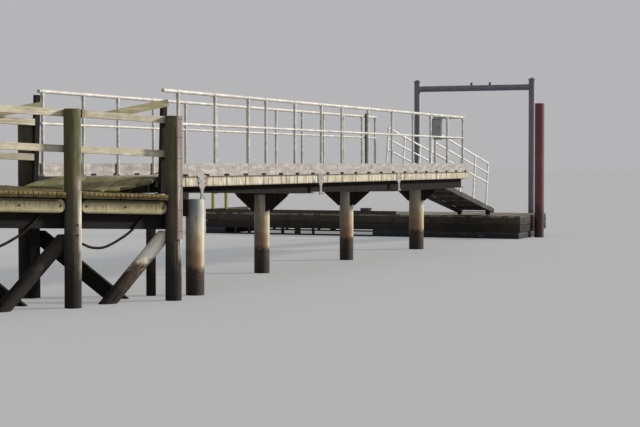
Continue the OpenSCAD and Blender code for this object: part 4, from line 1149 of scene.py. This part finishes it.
def twisted_rope(name, path, diameter, lay):
    """A laid rope of three strands as one closed tube whose outline turns along the path."""
    sides = 24
    spots = smooth_path(path, 0.006)
    bm = bmesh.new()
    rings = []
    along = 0.0
    for i, spot in enumerate(spots):
        tangent = (spots[min(i + 1, len(spots) - 1)] - spots[max(i - 1, 0)]).normalized()
        side = tangent.cross(Vector((0, 1, 0))).normalized()
        up = side.cross(tangent)
        if i:
            along += (spot - spots[i - 1]).length
        ring = []
        for k in range(sides):
            angle = 2 * math.pi * k / sides
            lobe = abs(math.cos(1.5 * (angle - 2 * math.pi * along / lay)))
            radius = diameter / 2 * (0.78 + 0.21 * lobe)
            ring.append(bm.verts.new(spot + radius * (math.cos(angle) * side + math.sin(angle) * up)))
        rings.append(ring)
    lofted(bm, rings)
    bm.faces.new(rings[0][::-1])
    bm.faces.new(rings[-1])
    return from_bmesh(name, bm)


def railing_posts():
    """Where the walkway's railing posts stand, as (x, y)."""
    spots = []
    for y, (first, shares, length) in ((-RAIL_Y, NEAR_POSTS), (RAIL_Y, REAR_POSTS)):
        spots += [(first + share * length, y) for share in shares]
    return spots


def along_x(x, y, z):
    """A place whose z runs along the frame's x."""
    return shifted(HERE, x, y, z) @ Matrix.Rotation(math.radians(90), 4, "Y")


class AddRailingFittings(bpy.types.Operator):
    """Fits tees, crosses, foot sockets and bolted foot plates to the walkway's tube railings"""
    bl_idname = "jetty.add_railing_fittings"
    bl_label = "Railing fittings"

    def execute(self, context):
        plate, plate_in, plate_bolt = (0.104, 0.084, 0.009), 0.022, 0.019
        end_cap, near_end, rear_end = sleeve_size(0.052, 0.024), NEAR_POSTS[0] - 0.31, REAR_POSTS[0] - 0.08
        sockets, plates, bolts = [], [], []
        for x, y in railing_posts() + [(END_RAIL_X, -0.480), (END_RAIL_X, -0.211)]:
            at_end = x > END_RAIL_X - 0.01 and y > -RAIL_Y + 0.01
            turn = Matrix.Rotation(math.radians(90), 4, "X" if at_end else "Y")
            for z, way, size in (
                    (RAIL_TOP, turn, sleeve_size(0.057, 0.080)),
                    (RAIL_TOP - 0.050, HERE, sleeve_size(0.051, 0.055)),
                    (MID_RAIL, turn, sleeve_size(0.043, 0.070)),
                    (MID_RAIL, HERE, sleeve_size(0.051, 0.062)),
                    (DECK_Z + 0.030, HERE, sleeve_size(0.054, 0.050))):
                sockets.append((shifted(HERE, x, y, z) @ way, size, EVEN_TONE))
            middle = y if at_end else math.copysign(RAIL_Y - plate_in, y)
            plates.append((shifted(HERE, x, middle, DECK_Z + 0.0055), plate, EVEN_TONE))
            spots = [(x + dx, middle + dy, DECK_Z + 0.010) for dx in (-0.037, 0.037)
                     for dy in (-0.027, 0.027)]
            bolts += bolts_on(HERE, spots, (0, 0, 1), plate_bolt)
        for x, y in ((near_end, -RAIL_Y), (rear_end, RAIL_Y)):
            sockets.append((along_x(x, y, RAIL_TOP), end_cap, EVEN_TONE))
        for name, kind, points, bevel in (("railing_sockets", "sleeves", sockets, 0.002),
                                          ("railing_plates", "boards", plates, 0.001)):
            fitted(name, kind, points, "tube", "jetty", "railing_metal", bevel=bevel)
        fitted("railing_bolts", "bolts", bolts, "pale_bolt", "jetty", "railing_metal")
        return {"FINISHED"}


class AddSteelBolts(bpy.types.Operator):
    """Bolts the straps, the gusset plates and the hinge plates of the walkway"""
    bl_idname = "jetty.add_steel_bolts"
    bl_label = "Steelwork bolts"

    def execute(self, context):
        strap_bolt, gusset_bolt, hinge_bolt, pin_nut = 0.030, 0.034, 0.018, 0.046
        gusset_half, crosshead_reach, hinge_plate_x = 0.076, 0.680, 7.512
        gusset = ((0.350, 1.196), (0.260, 1.196), (0.260, 1.130), (0.180, 1.070), (0.180, 1.196))
        pale, dark = [], []
        for x in STRAPS:
            for side in (-1, 1):
                face = side * (OUTER_Y + 0.012)
                spots = [(x + dx, face, z) for dx in (-0.092, 0.092) for z in (1.448, 1.515)]
                spots += [(x + dx, face, BEAM_Z - 0.002) for dx in (-0.040, 0.062)]
                pale += bolts_on(HERE, spots, (0, side, 0), strap_bolt)
        for x in CROSSHEADS:
            for side in (-1, 1):
                spots = [(x + side * gusset_half, y * s, z) for s in (-1, 1) for y, z in gusset]
                dark += bolts_on(HERE, spots, (side, 0, 0), gusset_bolt)
            for side in (-1, 1):
                spots = [(x + dx, side * crosshead_reach, BEAM_Z + 0.010) for dx in (-0.055, 0.055)]
                dark += bolts_on(HERE, spots, (0, 0, 1), gusset_bolt)
        for side in (-1, 1):
            centre = GANG_Y + side * GANG_HALF
            spots = [(hinge_plate_x, centre + dy, z) for dy in (-0.050, 0.050) for z in (1.262, 1.385)]
            dark += bolts_on(HERE, spots, (1, 0, 0), hinge_bolt)
            for end in (-1, 1):
                dark += bolts_on(HERE, [(HINGE[0], centre + end * 0.060, HINGE[2])], (0, end, 0), pin_nut)
        fitted("strap_bolts", "bolts", pale, "pale_bolt", "jetty", "railing_metal")
        fitted("steelwork_bolts", "bolts", dark, "bolt", "jetty", "dark_steel")
        return {"FINISHED"}


class AddControlBox(bpy.types.Operator):
    """Gives the control box its door, hinges, latch, rain hood and cable gland"""
    bl_idname = "jetty.add_control_box"
    bl_label = "Control box door"

    def execute(self, context):
        face, middle, door_z, roof_z, foot_z = 7.710, -0.273, 2.411, 2.590, 2.226
        latch = middle - 0.066
        panels = [
            (shifted(HERE, face - 0.004, middle, door_z), (0.007, 0.170, 0.328), 0.55),
            (shifted(HERE, face + 0.040, middle, roof_z), (0.112, 0.206, 0.007), 0.45),
            (shifted(HERE, face - 0.009, latch, door_z), (0.006, 0.016, 0.060), 0.35)]
        rounds = [(shifted(HERE, face - 0.005, middle + 0.088, z), sleeve_size(0.014, 0.046), EVEN_TONE)
                  for z in (2.300, 2.522)]
        rounds += [(along_x(face - 0.011, latch, door_z), sleeve_size(0.022, 0.012), EVEN_TONE),
                   (shifted(HERE, face + 0.045, middle, foot_z), sleeve_size(0.026, 0.030), EVEN_TONE)]
        fitted("box_door", "boards", panels, "box", "jetty", "railing_metal", bevel=0.0015)
        fitted("box_hinges", "sleeves", rounds, "bracket", "jetty", "railing_metal", bevel=0.001)
        return {"FINISHED"}


class AddGangwayFittings(bpy.types.Operator):
    """Boards the gangway across, with foot battens, and fits crosses and foot plates to its railings"""
    bl_idname = "jetty.add_gangway_fittings"
    bl_label = "Gangway boards and fittings"

    def execute(self, context):
        draw = random.Random(21)
        width = 2 * (GANG_HALF - 0.025)
        past_hinge, past_axle, count = 0.040, 0.130, 50
        pitch = (GANG_LEN + past_axle + past_hinge) / count
        board, board_z = (pitch - 0.007, width - 0.006, 0.0335), 0.0620
        batten, batten_z = (0.036, width - 0.090, 0.013), 0.0855
        battens, first_batten, batten_pitch, dark = 11, 0.250, 0.420, 0.3
        boards = []
        for i in range(count):
            x = -past_hinge + (i + 0.5) * pitch
            boards.append((shifted(GANGWAY, x, 0, board_z), board, draw.random()))
        for i in range(battens):
            boards.append((shifted(GANGWAY, first_batten + batten_pitch * i, 0, batten_z), batten, dark))
        obj = fitted("gangway_boards", "boards", boards, "gang_deck", "gangway", "deck_timber",
                     bevel=0.003, warp=0.001, seed=4.0)
        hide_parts("gangway_deck")
        posts, cross, foot = 5, sleeve_size(0.047, 0.052), sleeve_size(0.049, 0.040)
        sockets, plates = [], []
        for side, first, last in zip((-1, 1), GANG_FIRST, GANG_LAST):
            for i in range(posts):
                x, y = first + (last - first) * i / (posts - 1), side * GANG_HALF
                sockets += [(shifted(GANGWAY, x, y, z), cross, EVEN_TONE) for z in GANG_RAILS]
                sockets.append((shifted(GANGWAY, x, y, 0.066), foot, EVEN_TONE))
                plates.append((shifted(GANGWAY, x, y, 0.049), (0.090, 0.048, 0.007), EVEN_TONE))
        for name, kind, points, bevel in (("gangway_sockets", "sleeves", sockets, 0.002),
                                          ("gangway_plates", "boards", plates, 0.001)):
            fitted(name, kind, points, "white_tube", "gangway", "white_metal", bevel=bevel)
        return {"FINISHED"}


class AddStageFittings(bpy.types.Operator):
    """Boards the floating stage across, bolts its walings and puts a lid on its box"""
    bl_idname = "jetty.add_stage_fittings"
    bl_label = "Stage boards and fittings"

    def execute(self, context):
        draw = random.Random(31)
        low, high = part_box("stage_deck")
        count, gap, short, sunk = 55, 0.006, 0.004, 0.0015
        pitch = (high[1] - low[1]) / count
        middle = (low[0] + high[0]) / 2
        boards = []
        for i in range(count):
            thick = 0.047 - draw.uniform(0, 0.002)
            place = shifted(HERE, middle, low[1] + (i + 0.5) * pitch, high[2] - sunk - thick / 2) @ QUARTER
            boards.append((place, (pitch - gap, high[0] - low[0] - short, thick), draw.random()))
        obj = fitted("stage_boards", "boards", boards, "stage", "stage", "deck_timber",
                     bevel=0.004, warp=0.001, seed=6.0)
        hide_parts("stage_deck")
        washer, inset, count, missing = 0.045, 0.300, 9, 1
        points = []
        for z in (0.395, 0.233):
            for i in range(count):
                y = low[1] + inset + i * (high[1] - low[1] - 2 * inset) / (count - 1)
                points += bolts_on(HERE, [(low[0] + MM, y, z)], (-1, 0, 0), washer)
                if i != missing:
                    points += bolts_on(HERE, [(high[0] - MM, y, z)], (1, 0, 0), washer)
            # The far end's bolts are sunk and plugged, out of sight
            spots = [(x, low[1] + MM, z) for x in (low[0] + inset, middle, high[0] - inset)]
            points += bolts_on(HERE, spots, (0, -1, 0), washer)
        fitted("waling_bolts", "bolts", points, "bolt", "stage", "dark_steel")
        low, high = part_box("stage_box")
        lip, thick = 0.008, 0.010
        place = shifted(HERE, (low[0] + high[0]) / 2, (low[1] + high[1]) / 2, high[2] + thick / 2)
        size = (high[0] - low[0] + 2 * lip, high[1] - low[1] + 2 * lip, thick)
        fitted("box_lid", "boards", [(place, size, 0.6)], "bracket", "stage", "grey_steel", bevel=0.003)
        return {"FINISHED"}


class AddGuideFittings(bpy.types.Operator):
    """Bolts the flanges at the heads of the guide frame's legs"""
    bl_idname = "jetty.add_guide_fittings"
    bl_label = "Guide frame bolts"

    def execute(self, context):
        count, circle, first, washer = 8, 0.084, 0.2, 0.016
        points = []
        for x, y in GUIDE_LEGS:
            for k in range(count):
                angle = 2 * math.pi * k / count + first
                spot = (x + circle * math.cos(angle), y + circle * math.sin(angle), GUIDE_FLANGE_Z)
                points += bolts_on(HERE, [spot], (0, 0, 1), washer)
        fitted("guide_bolts", "bolts", points, "bolt", "jetty", "grey_steel")
        return {"FINISHED"}


class AddStudio(bpy.types.Operator):
    """Sets the pale floor, the soft light and the camera"""
    bl_idname = "jetty.add_studio"
    bl_label = "Floor, light and camera"

    def execute(self, context):
        scene = context.scene
        scene.view_settings.view_transform = "Standard"
        bm = bmesh.new()
        bmesh.ops.create_grid(bm, x_segments=1, y_segments=1, size=FLOOR_HALF)
        floor = from_bmesh("studio_floor", bm, smooth=False)
        material = bpy.data.materials.new("pale_floor")
        material.use_nodes = True
        tree = material.node_tree
        tree.nodes.clear()
        ray = add(tree, "ShaderNodeLightPath")
        matt = add(tree, "ShaderNodeBsdfPrincipled", {
            "Base Color": linear("B4B4B4"), "Roughness": 0.9, "Specular IOR Level": 0.0})
        glow = add(tree, "ShaderNodeEmission", {"Color": linear("B4B4B5"), "Strength": 1.0})
        amount = add(tree, "ShaderNodeMath", {
            0: ray.outputs["Is Camera Ray"], 1: 0.55}, operation="MULTIPLY")
        both = add(tree, "ShaderNodeMixShader", {
            0: amount.outputs[0], 1: matt.outputs[0], 2: glow.outputs[0]})
        add(tree, "ShaderNodeOutputMaterial", {0: both.outputs[0]})
        floor.data.materials.append(material)

        world = bpy.data.worlds.new("soft_sky")
        scene.world = world
        world.use_nodes = True
        tree = world.node_tree
        tree.nodes.clear()
        ray = add(tree, "ShaderNodeLightPath")
        light = add(tree, "ShaderNodeBackground", {"Color": linear("E8ECF4"), "Strength": 0.60})
        shown = add(tree, "ShaderNodeBackground", {"Color": linear("B5B5B7"), "Strength": 1.0})
        seen = add(tree, "ShaderNodeMath", {
            0: ray.outputs["Is Camera Ray"], 1: ray.outputs["Is Glossy Ray"]}, operation="MAXIMUM")
        both = add(tree, "ShaderNodeMixShader", {
            0: seen.outputs[0], 1: light.outputs[0], 2: shown.outputs[0]})
        add(tree, "ShaderNodeOutputWorld", {0: both.outputs[0]})

        lamp = bpy.data.lights.new("soft_sun", "SUN")
        lamp.energy = 4.0
        lamp.angle = math.radians(6)
        lamp.color = (1.0, 0.95, 0.87)
        sun = bpy.data.objects.new("soft_sun", lamp)
        sun.rotation_euler = Vector(SUNLIGHT).to_track_quat("-Z", "Y").to_euler()
        scene.collection.objects.link(sun)

        lens = bpy.data.cameras.new("photo_camera")
        lens.sensor_width = 36.0
        lens.lens = FOCAL_PIXELS * lens.sensor_width / PHOTO_WIDTH
        lens.clip_end = 1000
        camera = bpy.data.objects.new("photo_camera", lens)
        camera.location = EYE
        camera.rotation_euler = (math.radians(90 - DOWN), 0, math.radians(HEADING - 90))
        scene.collection.objects.link(camera)
        scene.camera = camera
        return {"FINISHED"}


class DeckSizes(bpy.types.PropertyGroup):
    board: bpy.props.FloatProperty(name="Board width", description="Width of one deck board",
                                   default=0.058, unit="LENGTH")
    gap: bpy.props.FloatProperty(name="Gap", description="Gap between deck boards",
                                 default=0.007, unit="LENGTH")
    seed: bpy.props.IntProperty(name="Seed", description="Seed of the boards' small differences", default=11)


class RopeSizes(bpy.types.PropertyGroup):
    diameter: bpy.props.FloatProperty(name="Diameter", description="Thickness of the rope",
                                      default=0.034, unit="LENGTH")
    lay: bpy.props.FloatProperty(name="Lay", description="Length of one full turn of the strands",
                                 default=0.150, unit="LENGTH")


class JETTY_PT_sidebar(bpy.types.Panel):
    """Lists the jetty's pieces"""
    bl_idname = "JETTY_PT_sidebar"
    bl_label = "Jetty"
    bl_space_type = "VIEW_3D"
    bl_region_type = "UI"
    bl_category = "Jetty"

    def draw(self, context):
        for group in (context.scene.jetty_deck, context.scene.jetty_rope):
            for key in group.bl_rna.properties.keys():
                if key not in ("rna_type", "name"):
                    self.layout.prop(group, key)
        for step in STEPS:
            self.layout.operator(step.bl_idname)


STEPS = (DressPacked, AddStudio, AddRopes, AddPiles, AddBraces, AddApproachDeck, AddRamp, AddTimberRails,
         AddTimberBolts, AddRailingFittings, AddSteelBolts, AddControlBox, AddGangwayFittings,
         AddStageFittings, AddGuideFittings)
GROUPS = (DeckSizes, RopeSizes)


def register():
    for item in GROUPS + STEPS + (JETTY_PT_sidebar,):
        bpy.utils.register_class(item)
    bpy.types.Scene.jetty_deck = bpy.props.PointerProperty(type=DeckSizes)
    bpy.types.Scene.jetty_rope = bpy.props.PointerProperty(type=RopeSizes)


def unregister():
    del bpy.types.Scene.jetty_rope
    del bpy.types.Scene.jetty_deck
    for item in reversed(GROUPS + STEPS + (JETTY_PT_sidebar,)):
        bpy.utils.unregister_class(item)


def main():
    register()
    for step in STEPS:
        group, call = step.bl_idname.split(".")
        getattr(getattr(bpy.ops, group), call)()


if __name__ == "__main__":
    main()
